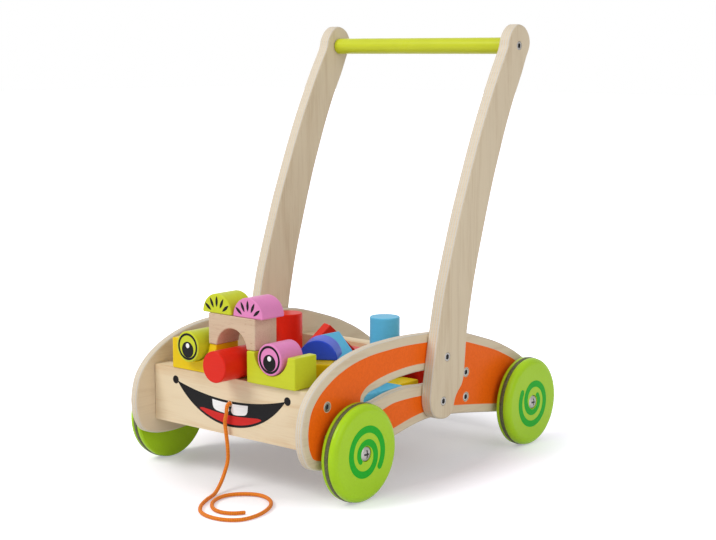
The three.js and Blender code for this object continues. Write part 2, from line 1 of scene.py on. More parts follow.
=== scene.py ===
# %% [markdown]
# # A wooden baby push walker
#
# This lesson dresses a finished solid model of a baby push walker: a cart on four wheels, with a tray
# of loose building blocks and a tall handle. The solid model already has every size and every joint.
# What it lacks is what the eye expects of a real one: rounded edges, wood grain, lacquer, prints and
# a cord that looks braided. Each cell adds one of these. All sizes are metres, +Z is up, and the
# front of the cart looks along -Y.

import math

import bmesh
import bpy
import numpy as np
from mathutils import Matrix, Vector
from mathutils.geometry import delaunay_2d_cdt


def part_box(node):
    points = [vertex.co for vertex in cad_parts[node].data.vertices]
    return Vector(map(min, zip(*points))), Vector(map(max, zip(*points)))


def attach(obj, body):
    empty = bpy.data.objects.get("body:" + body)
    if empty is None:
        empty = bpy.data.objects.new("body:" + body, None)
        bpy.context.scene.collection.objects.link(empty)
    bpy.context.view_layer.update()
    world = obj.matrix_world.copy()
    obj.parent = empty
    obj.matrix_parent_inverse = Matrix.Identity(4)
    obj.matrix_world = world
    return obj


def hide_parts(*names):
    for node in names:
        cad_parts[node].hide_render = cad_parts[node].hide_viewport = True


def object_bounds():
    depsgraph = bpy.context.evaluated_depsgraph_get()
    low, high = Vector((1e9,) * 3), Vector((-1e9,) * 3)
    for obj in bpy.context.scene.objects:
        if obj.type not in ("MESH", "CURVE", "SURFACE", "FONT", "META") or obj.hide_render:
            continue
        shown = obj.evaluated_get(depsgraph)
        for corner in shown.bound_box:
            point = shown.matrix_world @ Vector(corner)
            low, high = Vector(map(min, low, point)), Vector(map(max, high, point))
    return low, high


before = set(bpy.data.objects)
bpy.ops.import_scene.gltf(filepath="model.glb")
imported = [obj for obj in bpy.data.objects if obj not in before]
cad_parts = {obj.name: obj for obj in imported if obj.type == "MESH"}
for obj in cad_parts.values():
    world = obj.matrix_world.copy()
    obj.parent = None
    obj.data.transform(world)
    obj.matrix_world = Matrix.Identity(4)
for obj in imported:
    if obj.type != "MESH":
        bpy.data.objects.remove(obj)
solid_box = [list(corner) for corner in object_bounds()]
MM = 0.001
# Places that were measured count from the front axle and from a floor 53 mm below the front
# board. These two values carry them into the frame.
AXLE_RADIUS = 4.0 * MM
AXLE_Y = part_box("front_axle")[0].y + AXLE_RADIUS
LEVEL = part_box("front_board")[0].z - 53 * MM
print("solid model's box:", solid_box)


# %% [markdown]
# The camera comes first, because every finish is judged through it. Its place and its lens were worked
# out from the wheels, boards and posts, whose real sizes are known from the solid model: it stands
# about 1.7 m away, low and to the right of the cart's nose, and looks slightly down.

# %% Camera
CAMERA_PLACE = (1.09093, -1.14073 + AXLE_Y, 0.44752 + LEVEL)
CAMERA_TURN = (90 - 8.104, -0.09, 39.874)
FOCAL_PIXELS, FRAME_PIXELS, SENSOR_WIDE = 1510.25, 716, 36.0
camera = bpy.data.objects.new("camera", bpy.data.cameras.new("camera"))
bpy.context.scene.collection.objects.link(camera)
camera.location = CAMERA_PLACE
camera.rotation_euler = [math.radians(degrees) for degrees in CAMERA_TURN]
camera.data.sensor_width = SENSOR_WIDE
camera.data.lens = FOCAL_PIXELS / FRAME_PIXELS * SENSOR_WIDE
camera.data.clip_start, camera.data.clip_end = 0.05, 40
bpy.context.scene.camera = camera
print("lens: %.1f mm" % camera.data.lens)


# %% [markdown]
# Every new shape below is worked out with numpy as whole arrays of points and put into a mesh in one
# go. The first helper does that, shades the mesh smooth, keeps edges sharper than a given angle, and
# puts the object in the scene at the origin, so that its place is in its points. The others number a
# grid's faces, turn faces outwards, and put a piece on the body it rides on, hiding the nodes it
# stands for.

# %% A mesh from arrays
def mesh_object(name, points, faces, material, sharp=40):
    """An object from points and faces; edges that turn more than `sharp` degrees stay sharp."""
    mesh = bpy.data.meshes.new(name)
    mesh.from_pydata(np.asarray(points, float).tolist(), [], [list(map(int, f)) for f in faces])
    mesh.polygons.foreach_set("use_smooth", np.ones(len(mesh.polygons), bool))
    mesh.set_sharp_from_angle(angle=math.radians(sharp))
    mesh.materials.append(material)
    mesh.update()
    piece = bpy.data.objects.new(name, mesh)
    bpy.context.scene.collection.objects.link(piece)
    return piece


def grid_faces(rows, columns, close_rows=False, close_columns=False):
    """Quads of a grid of points that are numbered row by row. A closed direction joins its last row or
    column to its first."""
    r = np.arange(rows if close_rows else rows - 1)
    c = np.arange(columns if close_columns else columns - 1)
    r, c = np.meshgrid(r, c, indexing="ij")
    r2, c2 = (r + 1) % rows, (c + 1) % columns
    quads = np.stack([r * columns + c, r * columns + c2, r2 * columns + c2, r2 * columns + c], -1)
    return quads.reshape(-1, 4)


def capped_faces(rings, around):
    """Quads of a row of rings of points, with one more face in the first ring and one in the last."""
    first = list(range(around))
    last = [(rings - 1) * around + i for i in first]
    return grid_faces(rings, around, False, True).tolist() + [first, last]


def keep_flat(piece):
    """Lets the large faces decide how the light falls, so that they look flat right up to a rounded edge."""
    even = piece.modifiers.new("flat_faces_stay_flat", "WEIGHTED_NORMAL")
    even.keep_sharp = True
    even.weight = 100


def outwards(piece):
    """Turns every face of a closed mesh outwards and keeps its flat faces flat."""
    made = bmesh.new()
    made.from_mesh(piece.data)
    bmesh.ops.recalc_face_normals(made, faces=made.faces[:])
    made.to_mesh(piece.data)
    made.free()
    keep_flat(piece)


def finished(piece, body, slot, *nodes):
    """Puts a piece on the body it rides on and hides the nodes it stands for; `slot` is not used."""
    if nodes:
        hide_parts(*nodes)
    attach(piece, body)


def middle(node):
    """The middle of a node's box."""
    low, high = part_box(node)
    return (np.array(low) + np.array(high)) / 2


print("mesh helpers are ready")


# %% [markdown]
# Materials. Paint and wood are seen everywhere here, so they get one careful recipe each. Colours are
# written the way a picture program shows them and turned into the linear values that Blender uses.
# Lacquered wood is a satin colour that is a little uneven, with the wood's grain faintly showing as
# long, thin streaks. Bare wood has the same streaks, stronger, plus fine pores. Both read the
# object's own coordinates, so that the grain stays with the piece when it moves.

# %% Helpers for materials
def linear(red, green, blue):
    """The linear colour for 0-255 values as they show on a screen."""
    part = np.array([red, green, blue]) / 255
    part = np.where(part <= 0.04045, part / 12.92, ((part + 0.055) / 1.055) ** 2.4)
    return (*map(float, part), 1.0)


class Finish:
    """A material under construction: its nodes, and short ways to add them."""

    def __init__(self, name, roughness=0.5, metallic=0.0, specular=0.5):
        self.material = bpy.data.materials.new(name)
        self.material.use_nodes = True
        self.tree = self.material.node_tree
        self.shader = self.tree.nodes["Principled BSDF"]
        self.shader.inputs["Roughness"].default_value = roughness
        self.shader.inputs["Metallic"].default_value = metallic
        self.shader.inputs["Specular IOR Level"].default_value = specular
        self.coordinates = self.node("ShaderNodeTexCoord")

    def node(self, kind, **settings):
        """A new node with its settings."""
        made = self.tree.nodes.new(kind)
        for key, value in settings.items():
            setattr(made, key, value)
        return made

    def link(self, source, target):
        """Joins an output to an input."""
        self.tree.links.new(source, target)

    def place(self, scale, turn=(0, 0, 0)):
        """Coordinates of the piece, stretched by scale and turned by degrees."""
        mapping = self.node("ShaderNodeMapping")
        self.link(self.coordinates.outputs["Object"], mapping.inputs["Vector"])
        mapping.inputs["Scale"].default_value = scale
        mapping.inputs["Rotation"].default_value = [math.radians(t) for t in turn]
        return mapping.outputs["Vector"]

    def noise(self, vector, scale, detail=4.0, roughness=0.5, distortion=0.0):
        """A cloudy value from 0 to 1 at the given coordinates."""
        made = self.node("ShaderNodeTexNoise")
        self.link(vector, made.inputs["Vector"])
        made.inputs["Scale"].default_value = scale
        made.inputs["Detail"].default_value = detail
        made.inputs["Roughness"].default_value = roughness
        made.inputs["Distortion"].default_value = distortion
        return made.outputs["Fac"]

    def ramp(self, value, stops):
        """A colour for each value; stops are (place, colour)."""
        made = self.node("ShaderNodeValToRGB")
        self.link(value, made.inputs["Fac"])
        while len(made.color_ramp.elements) < len(stops):
            made.color_ramp.elements.new(0.5)
        for element, (place, color) in zip(made.color_ramp.elements, stops):
            element.position = place
            element.color = color
        return made.outputs["Color"]

    def mix(self, factor, first, second):
        """The first colour, or the second where the factor is 1. The node has them as inputs 6 and 7."""
        made = self.node("ShaderNodeMix", data_type="RGBA")
        for index, value in ((0, factor), (6, first), (7, second)):
            if isinstance(value, (tuple, list, float, int)):
                made.inputs[index].default_value = value
            else:
                self.link(value, made.inputs[index])
        return made.outputs[2]

    def math(self, operation, first, second=0.0):
        """One sum on one or two values."""
        made = self.node("ShaderNodeMath", operation=operation)
        for index, value in enumerate((first, second)):
            if isinstance(value, (float, int)):
                made.inputs[index].default_value = value
            else:
                self.link(value, made.inputs[index])
        return made.outputs["Value"]

    def spread(self, value, low, high, to_low=0.0, to_high=1.0):
        """The value carried from one range to another, and held at its ends."""
        made = self.node("ShaderNodeMapRange")
        self.link(value, made.inputs["Value"])
        for name, number in (("From Min", low), ("From Max", high), ("To Min", to_low), ("To Max", to_high)):
            made.inputs[name].default_value = number
        return made.outputs["Result"]

    def color(self, source):
        """Sets the colour."""
        self.link(source, self.shader.inputs["Base Color"])

    def rough(self, source):
        """Sets the roughness."""
        self.link(source, self.shader.inputs["Roughness"])

    def bump(self, height, distance, strength=1.0):
        """Lets a height from 0 to 1 tilt the surface as if it rose by that share of the distance."""
        made = self.node("ShaderNodeBump")
        made.inputs["Distance"].default_value = distance
        made.inputs["Strength"].default_value = strength
        self.link(height, made.inputs["Height"])
        self.link(made.outputs["Normal"], self.shader.inputs["Normal"])


def shade(color, factor):
    """The same colour, lighter or darker by a factor."""
    return (*[min(1.0, part * factor) for part in color[:3]], 1.0)


print("materials helper ready")


# %% [markdown]
# The cord. It is a soft braided cord, 4 mm thick, tied in a knot behind the front board, led through
# a hole, and left hanging in front, with its free end in a loose spiral on the floor. A tube that is
# carried along one smooth route gives this: the route's places are the solid model's own, and a
# centripetal spline runs through them without kinks or loops. The section is carried along the route
# without twist, so that the braid's pattern stays even.

# %% The cord's route
CORD_RADIUS, CORD_LIES_AT, CORD_STEP = 2.0 * MM, 2.1, 1.0 * MM
OFF_THE_BOARD, OFF_THE_FLOOR = 0.02 * MM, 0.04 * MM
CURVE_STEPS = 24
cord_hangs = [
    [0, -16.5, 87], [0, -24, 87], [0, -33, 87], [0, -43, 87], [0, -46, 85.9], [-0.2, -47.2, 83],
    [-1, -47, 77], [-3.2, -47, 68], [-1.6, -47, 55], [0.4, -47, 40], [0.8, -47.5, 27],
    [3.8, -55.5, 15.7], [8.6, -67, 6.7],
]
cord_lies = [
    [14.3, -80.5], [23.5, -101], [35, -120.5], [50, -134.5], [67.5, -139.5], [85, -136.5],
    [96.5, -126.5], [99.5, -111], [95.5, -91], [84.5, -71], [68.5, -58], [51.5, -55], [37, -63],
    [28.5, -76], [28.5, -89.5], [34.5, -103], [44.5, -114], [56, -120.5], [67.5, -121],
    [77, -116], [83.2, -107.4],
]
cord_places = np.array(cord_hangs + [[x, y, CORD_LIES_AT] for x, y in cord_lies]) * MM
cord_places[:, 1] += AXLE_Y
cord_places[: len(cord_hangs), 2] += LEVEL


def smooth_route(places, steps):
    """A centripetal spline: between two places it blends straight lines through their neighbours, with
    knots spaced by the square root of the distance."""
    ends = np.vstack([2 * places[0] - places[1], places, 2 * places[-1] - places[-2]])
    knots = np.concatenate([[0], np.cumsum(np.linalg.norm(np.diff(ends, axis=0), axis=1) ** 0.5)])
    made = []
    for i in range(1, len(ends) - 2):
        p, k = ends[i - 1 : i + 3], knots[i - 1 : i + 3]
        t = np.linspace(k[1], k[2], steps, endpoint=False)[:, None]
        first = [((k[j + 1] - t) * p[j] + (t - k[j]) * p[j + 1]) / (k[j + 1] - k[j]) for j in range(3)]
        second = [
            ((k[j + 2] - t) * first[j] + (t - k[j]) * first[j + 1]) / (k[j + 2] - k[j]) for j in range(2)
        ]
        made.append(((k[2] - t) * second[0] + (t - k[1]) * second[1]) / (k[2] - k[1]))
    return np.vstack(made + [places[-1:]])


def even_steps(route, step):
    """The same route with its points an equal distance apart."""
    run = np.concatenate([[0], np.cumsum(np.linalg.norm(np.diff(route, axis=0), axis=1))])
    at = np.linspace(0, run[-1], int(round(run[-1] / step)) + 1)
    return np.stack([np.interp(at, run, route[:, i]) for i in range(3)], 1)


whole_route = smooth_route(cord_places, CURVE_STEPS)
BOARD_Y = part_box("front_board")[0].y
cord_route = even_steps(whole_route[whole_route[:, 1] <= BOARD_Y + OFF_THE_BOARD], CORD_STEP)
cord_route[:, 2] = np.maximum(cord_route[:, 2], solid_box[0][2] + CORD_RADIUS + OFF_THE_FLOOR)


# %% [markdown]
# The tube. A direction across the route is carried from point to point: at each new point the part of
# it that lies along the route is taken away, so the section never twists. The tube's ends close in a
# small dome, and a UV map counts along it and round it, which the braid needs.

# %% A tube along a route
def frames_along(route):
    """Two directions across the route at each point, carried along it without twist."""
    along = np.gradient(route, axis=0)
    along /= np.linalg.norm(along, axis=1)[:, None]
    side = np.zeros_like(route)
    start = np.cross(along[0], [0.0, 0.0, 1.0])
    if np.linalg.norm(start) < 0.1:
        start = np.cross(along[0], [1.0, 0.0, 0.0])
    side[0] = start / np.linalg.norm(start)
    for i in range(1, len(route)):
        carried = side[i - 1] - along[i] * (side[i - 1] @ along[i])
        side[i] = carried / np.linalg.norm(carried)
    return side, np.cross(along, side), along


DOME_RINGS, DOME_LONG = 4, 0.5


def tube_object(name, route, radius, material, around=20, taper_ends=True, closed=False):
    """A round section carried along a route; its ends close in a few ever smaller rings. The UV map's
    first number counts millimetres along the route and its second goes once round."""
    side, up, along = frames_along(route)
    radii = np.full(len(route), float(radius))
    if taper_ends and not closed:
        past = np.linspace(1, 0, DOME_RINGS + 1)[:-1]
        dome = np.sqrt(1 - past**2 * 0.995)
        lead = -radius * DOME_LONG * past
        route = np.vstack([
            route[0] + along[0] * lead[:, None], route, route[-1] - along[-1] * lead[::-1, None],
        ])
        radii = np.concatenate([radius * dome, radii, radius * dome[::-1]])
        side, up = (np.vstack([
            np.repeat(across[:1], DOME_RINGS, 0), across, np.repeat(across[-1:], DOME_RINGS, 0),
        ]) for across in (side, up))
    angle = np.linspace(0, 2 * np.pi, around, endpoint=False)
    ring = side[:, None] * np.cos(angle)[None, :, None] + up[:, None] * np.sin(angle)[None, :, None]
    points = route[:, None] + ring * radii[:, None, None]
    rows = len(route)
    faces = [list(f) for f in grid_faces(rows, around, closed, True)]
    if not closed:
        faces.append(list(range(around))[::-1])
        faces.append([(rows - 1) * around + i for i in range(around)])
    piece = mesh_object(name, points.reshape(-1, 3), faces, material, 60)
    run = np.concatenate([[0], np.cumsum(np.linalg.norm(np.diff(route, axis=0), axis=1))]) / MM
    layer = piece.data.uv_layers.new(name="UVMap")
    corner = np.zeros(len(piece.data.loops), np.int32)
    piece.data.loops.foreach_get("vertex_index", corner)
    uv = np.stack([run[corner // around], (corner % around) / around], 1).astype(np.float32)
    starts = np.zeros(len(piece.data.polygons), np.int32)
    piece.data.polygons.foreach_get("loop_start", starts)
    totals = np.zeros(len(piece.data.polygons), np.int32)
    piece.data.polygons.foreach_get("loop_total", totals)
    quad = starts[totals == 4][:, None] + np.arange(4)[None]
    wraps = quad[uv[quad, 1].max(1) - uv[quad, 1].min(1) > 0.5]
    uv[wraps[uv[wraps, 1] < 0.5], 1] += 1
    layer.data.foreach_set("uv", uv.ravel())
    return piece


print("tube_object makes the cord and its knot")


# %% [markdown]
# The braid. Bundles of thread run round the cord, half of them one way and half the other, and each
# passes over and under the ones that cross it. The pattern reads the tube's own UV map: two families
# of slanting ridges, whose product is highest where they meet, give the bump. The colour follows the
# same height: darker orange in the hollows is painted shade, lighter orange on the crests is painted
# highlight.

# %% Braided cord material
BRAID_REPEAT, BRAID_BUNDLES, BRAID_RELIEF = 3.2, 4, 0.4 * MM


def braid_finish():
    """The sine of the way along plus the way round, times the sine of the way along less the way round."""
    made = Finish("braided_cord", roughness=0.82)
    split = made.node("ShaderNodeSeparateXYZ")
    made.link(made.coordinates.outputs["UV"], split.inputs["Vector"])
    along = made.math("MULTIPLY", split.outputs["X"], 2 * math.pi / BRAID_REPEAT)
    around = made.math("MULTIPLY", split.outputs["Y"], 2 * math.pi * BRAID_BUNDLES)
    first = made.math("SINE", made.math("ADD", along, around))
    second = made.math("SINE", made.math("SUBTRACT", along, around))
    weave = made.spread(made.math("MULTIPLY", first, second), -1, 1)
    fibre = made.noise(made.place((1400, 1400, 1400)), 1.0, 3)
    # The weave's height picks the colour: painted shade in the hollows, painted highlight on the crests.
    base = made.ramp(weave, [
        (0.15, linear(196, 84, 4)), (0.5, linear(248, 128, 8)), (0.9, linear(255, 160, 30)),
    ])
    fuzz = made.ramp(fibre, [(0.3, linear(214, 100, 6)), (0.7, linear(255, 158, 32))])
    made.color(made.mix(0.25, base, fuzz))
    height = made.math("ADD", weave, made.math("MULTIPLY", fibre, 0.25))
    made.bump(height, BRAID_RELIEF, 0.9)
    made.shader.inputs["Sheen Weight"].default_value = 0.08
    made.shader.inputs["Sheen Roughness"].default_value = 0.5
    return made.material


cord_material = braid_finish()
pull_cord = tube_object("pull_cord_braid", cord_route, CORD_RADIUS, cord_material)
finished(pull_cord, "cart", "cord", "pull_cord")
print(pull_cord.name, len(pull_cord.data.polygons), "faces")


# %% [markdown]
# Behind the board a plain overhand knot keeps the cord from slipping out. An overhand knot is the
# trefoil of the mathematicians, so its formula gives it: a point goes twice round a ring while it goes
# three times up and down, drawn small enough to sit where the solid model has its ball.

# %% The knot behind the front board
KNOT_SIZE, KNOT_THICK, INNER_SHARE, INNER_GAP = 0.98 * MM, 1.55 * MM, 0.98, 0.2 * MM
turn = np.linspace(0, 2 * np.pi, 90, endpoint=False)
knot_ring = np.stack([
    np.sin(turn) + 2 * np.sin(2 * turn), -1.25 * np.sin(3 * turn), np.cos(turn) - 2 * np.cos(2 * turn),
], 1)
knot_route = cord_places[0] + knot_ring * KNOT_SIZE
knot = tube_object("cord_knot", knot_route, KNOT_THICK, cord_material, 14, closed=True)
inner_route = even_steps(whole_route[whole_route[:, 1] > BOARD_Y - INNER_GAP], CORD_STEP)[2:]
inner_cord = tube_object(
    "cord_through_board", inner_route, CORD_RADIUS * INNER_SHARE, cord_material, taper_ends=False,
)
for piece in (knot, inner_cord):
    finished(piece, "cart", "cord")
print("cord, its end in the board and its knot are made")


# %% [markdown]
# The stage. Toys like this are shown on white. The floor takes the object's soft shadow. A light of
# its own, seen by the camera and in reflections only, is weak under the cart and grows outside an
# oval round it: the dim oval is a painted shadow that deepens the real one, and the rest is plain
# white. The lamps stay at a level where a colour looks the way it is written: a large soft lamp from
# the front left, a weak one from the right, and an even sky.

# %% Floor, sky and lamps
def seen_directly(tree):
    """A value of 1 for rays from the camera and for those that mirrors and glass send on."""
    light_path = tree.nodes.new("ShaderNodeLightPath")
    total = light_path.outputs["Is Camera Ray"]
    for word in ("Is Glossy Ray", "Is Transmission Ray"):
        add = tree.nodes.new("ShaderNodeMath")
        add.operation = "MAXIMUM"
        tree.links.new(total, add.inputs[0])
        tree.links.new(light_path.outputs[word], add.inputs[1])
        total = add.outputs[0]
    return total


FLOOR_GREY, FLOOR_GLOW, GLOW_UNDER_CART = (0.8, 0.8, 0.8, 1), (0.97, 0.945, 1.05, 1), 0.22
HALF_WIDE, HALF_LONG = 0.15, 0.21
FLOOR_REACH, FLOOR_DROP = 14.0, 0.3 * MM
floor_finish = Finish("floor_paper", roughness=0.9)
floor_finish.shader.inputs["Base Color"].default_value = FLOOR_GREY
floor_finish.shader.inputs["Emission Color"].default_value = FLOOR_GLOW
from_middle = floor_finish.node("ShaderNodeVectorMath", operation="LENGTH")
floor_finish.link(floor_finish.place((1 / HALF_WIDE, 1 / HALF_LONG, 1)), from_middle.inputs[0])
# The floor's glow is weak in an oval under the cart: a painted shadow.
glow = floor_finish.spread(from_middle.outputs["Value"], 1.0, 2.0, GLOW_UNDER_CART, 1.0)
glow = floor_finish.math("MULTIPLY", seen_directly(floor_finish.tree), glow)
floor_finish.link(glow, floor_finish.shader.inputs["Emission Strength"])
floor_corners = [
    (x * FLOOR_REACH, y * FLOOR_REACH, -FLOOR_DROP) for x, y in ((-1, -1), (1, -1), (1, 1), (-1, 1))
]
floor = mesh_object("floor", floor_corners, [(0, 1, 2, 3)], floor_finish.material)

SKY_LEVEL = 0.42
world = bpy.data.worlds.new("studio")
bpy.context.scene.world = world
world.use_nodes = True
sky = world.node_tree.nodes["Background"]
sky.inputs["Color"].default_value = (1, 1, 1, 1)
sky_strength = world.node_tree.nodes.new("ShaderNodeMapRange")
sky_strength.inputs["To Min"].default_value = SKY_LEVEL
world.node_tree.links.new(seen_directly(world.node_tree), sky_strength.inputs["Value"])
world.node_tree.links.new(sky_strength.outputs["Result"], sky.inputs["Strength"])
bpy.context.scene.view_settings.view_transform = "Standard"


def soft_lamp(name, place, aim, size, power):
    """A square lamp at a place, turned towards another."""
    lamp = bpy.data.objects.new(name, bpy.data.lights.new(name, "AREA"))
    bpy.context.scene.collection.objects.link(lamp)
    lamp.data.shape = "SQUARE"
    lamp.data.size = size
    lamp.data.energy = power
    lamp.location = place
    lamp.rotation_euler = (Vector(aim) - Vector(place)).to_track_quat("-Z", "Y").to_euler()


CART_MIDDLE = (0, 0, 0.2)
soft_lamp("key_lamp", (-1.3, -2.3, 2.7), CART_MIDDLE, 1.6, 68)
soft_lamp("side_lamp", (2.9, -1.0, 1.6), CART_MIDDLE, 2.2, 27)
print("stage and three sources of light")


# %% [markdown]
# Wood. The side panels and the posts are sawn from birch plywood: pale faces with long, faint, wavy
# figure, and edges where thin layers show in turn as pale long grain and darker end grain. The boards
# are pine, which is warmer and has clear growth lines, and the bare blocks are beech with its short
# dark flecks. One recipe gives all of them: noise that is stretched along the grain.

# %% Wood finishes
def grain_scale(axis, along, across):
    """Scales that stretch a noise along one axis."""
    return tuple(along if i == "xyz".index(axis) else across for i in range(3))


WOOD_ROUGHNESS, WOOD_RELIEF, LAYER_WOBBLE = 0.55, 0.12 * MM, 0.12 * MM


def wood_finish(name, pale, dark, axis, figure=0.5, streak=0.5, fleck=None, turn=(0, 0, 0)):
    """Bare, lightly varnished wood: broad figure, fine streaks along the grain, and pores as bump."""
    made = Finish(name, roughness=WOOD_ROUGHNESS, specular=0.35)
    broad = made.noise(made.place(grain_scale(axis, 5, 42), turn), 1.0, 4, 0.55, 1.2)
    fine = made.noise(made.place(grain_scale(axis, 22, 620), turn), 1.0, 6, 0.62)
    cloud = made.noise(made.place((9, 9, 9)), 1.0, 3)
    tone = made.math("ADD", made.math("MULTIPLY", broad, figure), made.math("MULTIPLY", fine, streak))
    halfway = 0.5 * (figure + streak)
    tone = made.spread(tone, halfway - 0.3, halfway + 0.3)
    color = made.ramp(tone, [(0.0, dark), (0.5, shade(pale, 0.95)), (1.0, pale)])
    color = made.mix(0.10, color, made.ramp(cloud, [(0.3, dark), (0.7, shade(pale, 1.04))]))
    if fleck is not None:
        specks = made.noise(made.place(grain_scale(axis, 150, 900), turn), 1.0, 2)
        color = made.mix(made.spread(specks, 0.62, 0.74, 0.0, 0.55), color, fleck)
    made.color(color)
    made.rough(made.spread(fine, 0.3, 0.7, WOOD_ROUGHNESS + 0.06, WOOD_ROUGHNESS - 0.06))
    made.bump(fine, WOOD_RELIEF, 0.5)
    return made


def layered_finish(name, axis, centre, thickness, layers, turn=(0, 0, 0)):
    """Plywood: wood on its faces. Where the surface doesn't face along x, the layers show: the cosine of the
    place in x, half a turn for each layer, gives long grain where it is high and end grain elsewhere."""
    pale, dark = BIRCH_PALE, BIRCH_DARK
    made = wood_finish(name, pale, dark, axis, figure=0.75, streak=0.45, turn=turn)
    face_color = made.shader.inputs["Base Color"].links[0].from_socket
    split = made.node("ShaderNodeSeparateXYZ")
    made.link(made.coordinates.outputs["Object"], split.inputs["Vector"])
    wobble = made.noise(made.place((30, 30, 30)), 1.0, 2)
    wobble = made.spread(wobble, 0, 1, -LAYER_WOBBLE, LAYER_WOBBLE)
    depth = made.math("ADD", split.outputs["X"], wobble)
    layer = made.math("MULTIPLY", made.math("SUBTRACT", depth, centre - thickness / 2), layers / thickness)
    wave = made.math("COSINE", made.math("MULTIPLY", layer, math.pi))
    crossgrain = made.noise(made.place((60, 700, 700)), 1.0, 4)
    end_grain = made.mix(made.spread(crossgrain, 0.35, 0.65, 0.1, 0.5), pale, dark)
    white_edge = (*[0.34 + 0.46 * part for part in pale[:3]], 1.0)
    edge = made.mix(made.spread(wave, -0.25, 0.25), end_grain, white_edge)
    glue = made.spread(made.math("ABSOLUTE", wave), 0.0, 0.3, 0.15, 0.0)
    edge = made.mix(glue, edge, shade(dark, 0.72))
    normal = made.node("ShaderNodeSeparateXYZ")
    made.link(made.coordinates.outputs["Normal"], normal.inputs["Vector"])
    facing = made.spread(made.math("ABSOLUTE", normal.outputs["X"]), 0.80, 0.96)
    made.color(made.mix(facing, edge, face_color))
    return made.material


BIRCH_PALE, BIRCH_DARK = linear(230, 213, 184), linear(203, 180, 147)
PINE_PALE, PINE_DARK = linear(243, 224, 190), linear(219, 184, 138)
BEECH_PALE, BEECH_DARK = linear(220, 194, 165), linear(193, 157, 127)
pine = wood_finish("pine", PINE_PALE, PINE_DARK, "x", figure=0.9, streak=0.35).material
beech = wood_finish("beech", BEECH_PALE, BEECH_DARK, "x", streak=0.6, fleck=linear(170, 122, 90)).material
tray_ply = wood_finish("tray_plywood", BIRCH_PALE, BIRCH_DARK, "x", figure=0.8).material
print("woods:", pine.name, beech.name, tray_ply.name)


# %% [markdown]
# Lacquer. The coloured pieces are painted wood: a full, smooth colour with a satin shine. Real lacquer
# on wood is never quite flat, because the grain stands up a little under it. Print ink is thinner and
# duller, the screws are zinc-plated steel, and the wheels' rings are dusty dark rubber.

# %% Lacquer, print ink, metal and rubber
LACQUER_RELIEF, METAL_RELIEF, RUBBER_RELIEF = 0.10 * MM, 0.03 * MM, 0.05 * MM


def lacquer_finish(name, color, roughness=0.36):
    """Satin paint over wood: a colour with a faint cloud and faint streaks, and a low bump from the grain."""
    made = Finish(name, roughness=roughness, specular=0.15)
    streak = made.noise(made.place(grain_scale("x", 20, 380)), 1.0, 4)
    cloud = made.noise(made.place((24, 24, 24)), 1.0, 3)
    tone = made.math("ADD", made.math("MULTIPLY", streak, 0.5), made.math("MULTIPLY", cloud, 0.5))
    made.color(made.ramp(tone, [(0.34, shade(color, 0.95)), (0.5, color), (0.66, shade(color, 1.03))]))
    made.rough(made.spread(cloud, 0.3, 0.7, roughness + 0.07, roughness - 0.05))
    made.bump(streak, LACQUER_RELIEF, 0.35)
    return made.material


def ink_finish(name, color, roughness=0.42):
    """Printed colour: thin, even, with a fine grain of the wood below."""
    made = Finish(name, roughness=roughness, specular=0.12)
    streak = made.noise(made.place((60, 420, 420)), 1.0, 3)
    made.color(made.ramp(streak, [(0.3, shade(color, 0.93)), (0.7, shade(color, 1.05))]))
    made.rough(made.spread(streak, 0.3, 0.7, roughness + 0.05, roughness - 0.05))
    return made.material


def metal_finish(name, color, roughness):
    """Zinc-plated steel: a little uneven in shine, with fine turning marks."""
    made = Finish(name, roughness=roughness, metallic=1.0)
    mark = made.noise(made.place((900, 2500, 2500)), 1.0, 3)
    made.color(made.ramp(mark, [(0.3, shade(color, 0.85)), (0.7, color)]))
    made.rough(made.spread(mark, 0.3, 0.7, roughness + 0.1, roughness - 0.06))
    made.bump(mark, METAL_RELIEF, 0.4)
    return made.material


def rubber_finish():
    """Dark rubber that fine dust makes paler in spots."""
    made = Finish("rubber_ring", roughness=0.62)
    dust = made.noise(made.place((500, 500, 500)), 1.0, 4)
    made.color(made.ramp(dust, [(0.3, linear(68, 70, 42)), (0.75, linear(110, 111, 68))]))
    made.bump(dust, RUBBER_RELIEF, 0.5)
    return made.material


wheel_green = lacquer_finish("wheel_green", linear(176, 220, 34), 0.22)
bar_lime = lacquer_finish("bar_lime", linear(205, 213, 50), 0.3)
block_lime = lacquer_finish("block_lime", linear(206, 214, 46))
block_yellow = lacquer_finish("block_yellow", linear(239, 203, 8))
block_red = lacquer_finish("block_red", linear(226, 38, 20))
block_pink = lacquer_finish("block_pink", linear(233, 140, 196))
block_sky = lacquer_finish("block_sky", linear(102, 194, 234))
block_blue = lacquer_finish("block_blue", linear(53, 86, 222))
panel_orange = ink_finish("panel_orange", linear(254, 108, 16), 0.4)
spiral_green = ink_finish("spiral_green", linear(30, 180, 38))
print_black = ink_finish("print_black", linear(12, 10, 11))
print_red = ink_finish("print_red", linear(214, 44, 40))
print_white = ink_finish("print_white", linear(255, 255, 255))
zinc = metal_finish("zinc", (0.62, 0.61, 0.59, 1), 0.3)
rubber = rubber_finish()
print("lacquers, inks, metal and rubber are ready")


# %% [markdown]
# Sawn shapes. Panels, posts and blocks are all one thing to a maker: an outline that is sawn from a
# board, with its edges eased by sandpaper. In code this is a profile carried along a path. The path is
# the outline, the profile is a quarter round, a straight wall and another quarter round, and each
# point of the outline moves inwards by what the profile says. Sharp corners of the outline get a
# small arc first, since sandpaper takes those too.

# %% Outlines
SHARP_TURN = math.radians(30)
SHORTEST_MEAN, LONGEST_EASE, CLEAR_SHARE = 0.35, 0.45, 0.985


def outline_normals(outline):
    """Directions that point out of a closed counterclockwise outline, halfway between its neighbouring
    edges, and longer at a corner by as much as the corner needs to keep its walls straight."""
    edge = np.roll(outline, -1, 0) - outline
    edge /= np.linalg.norm(edge, axis=1)[:, None]
    out = np.stack([edge[:, 1], -edge[:, 0]], 1)
    mean = out + np.roll(out, 1, 0)
    length = np.linalg.norm(mean, axis=1)[:, None]
    return mean / length / np.maximum(length / 2, SHORTEST_MEAN)


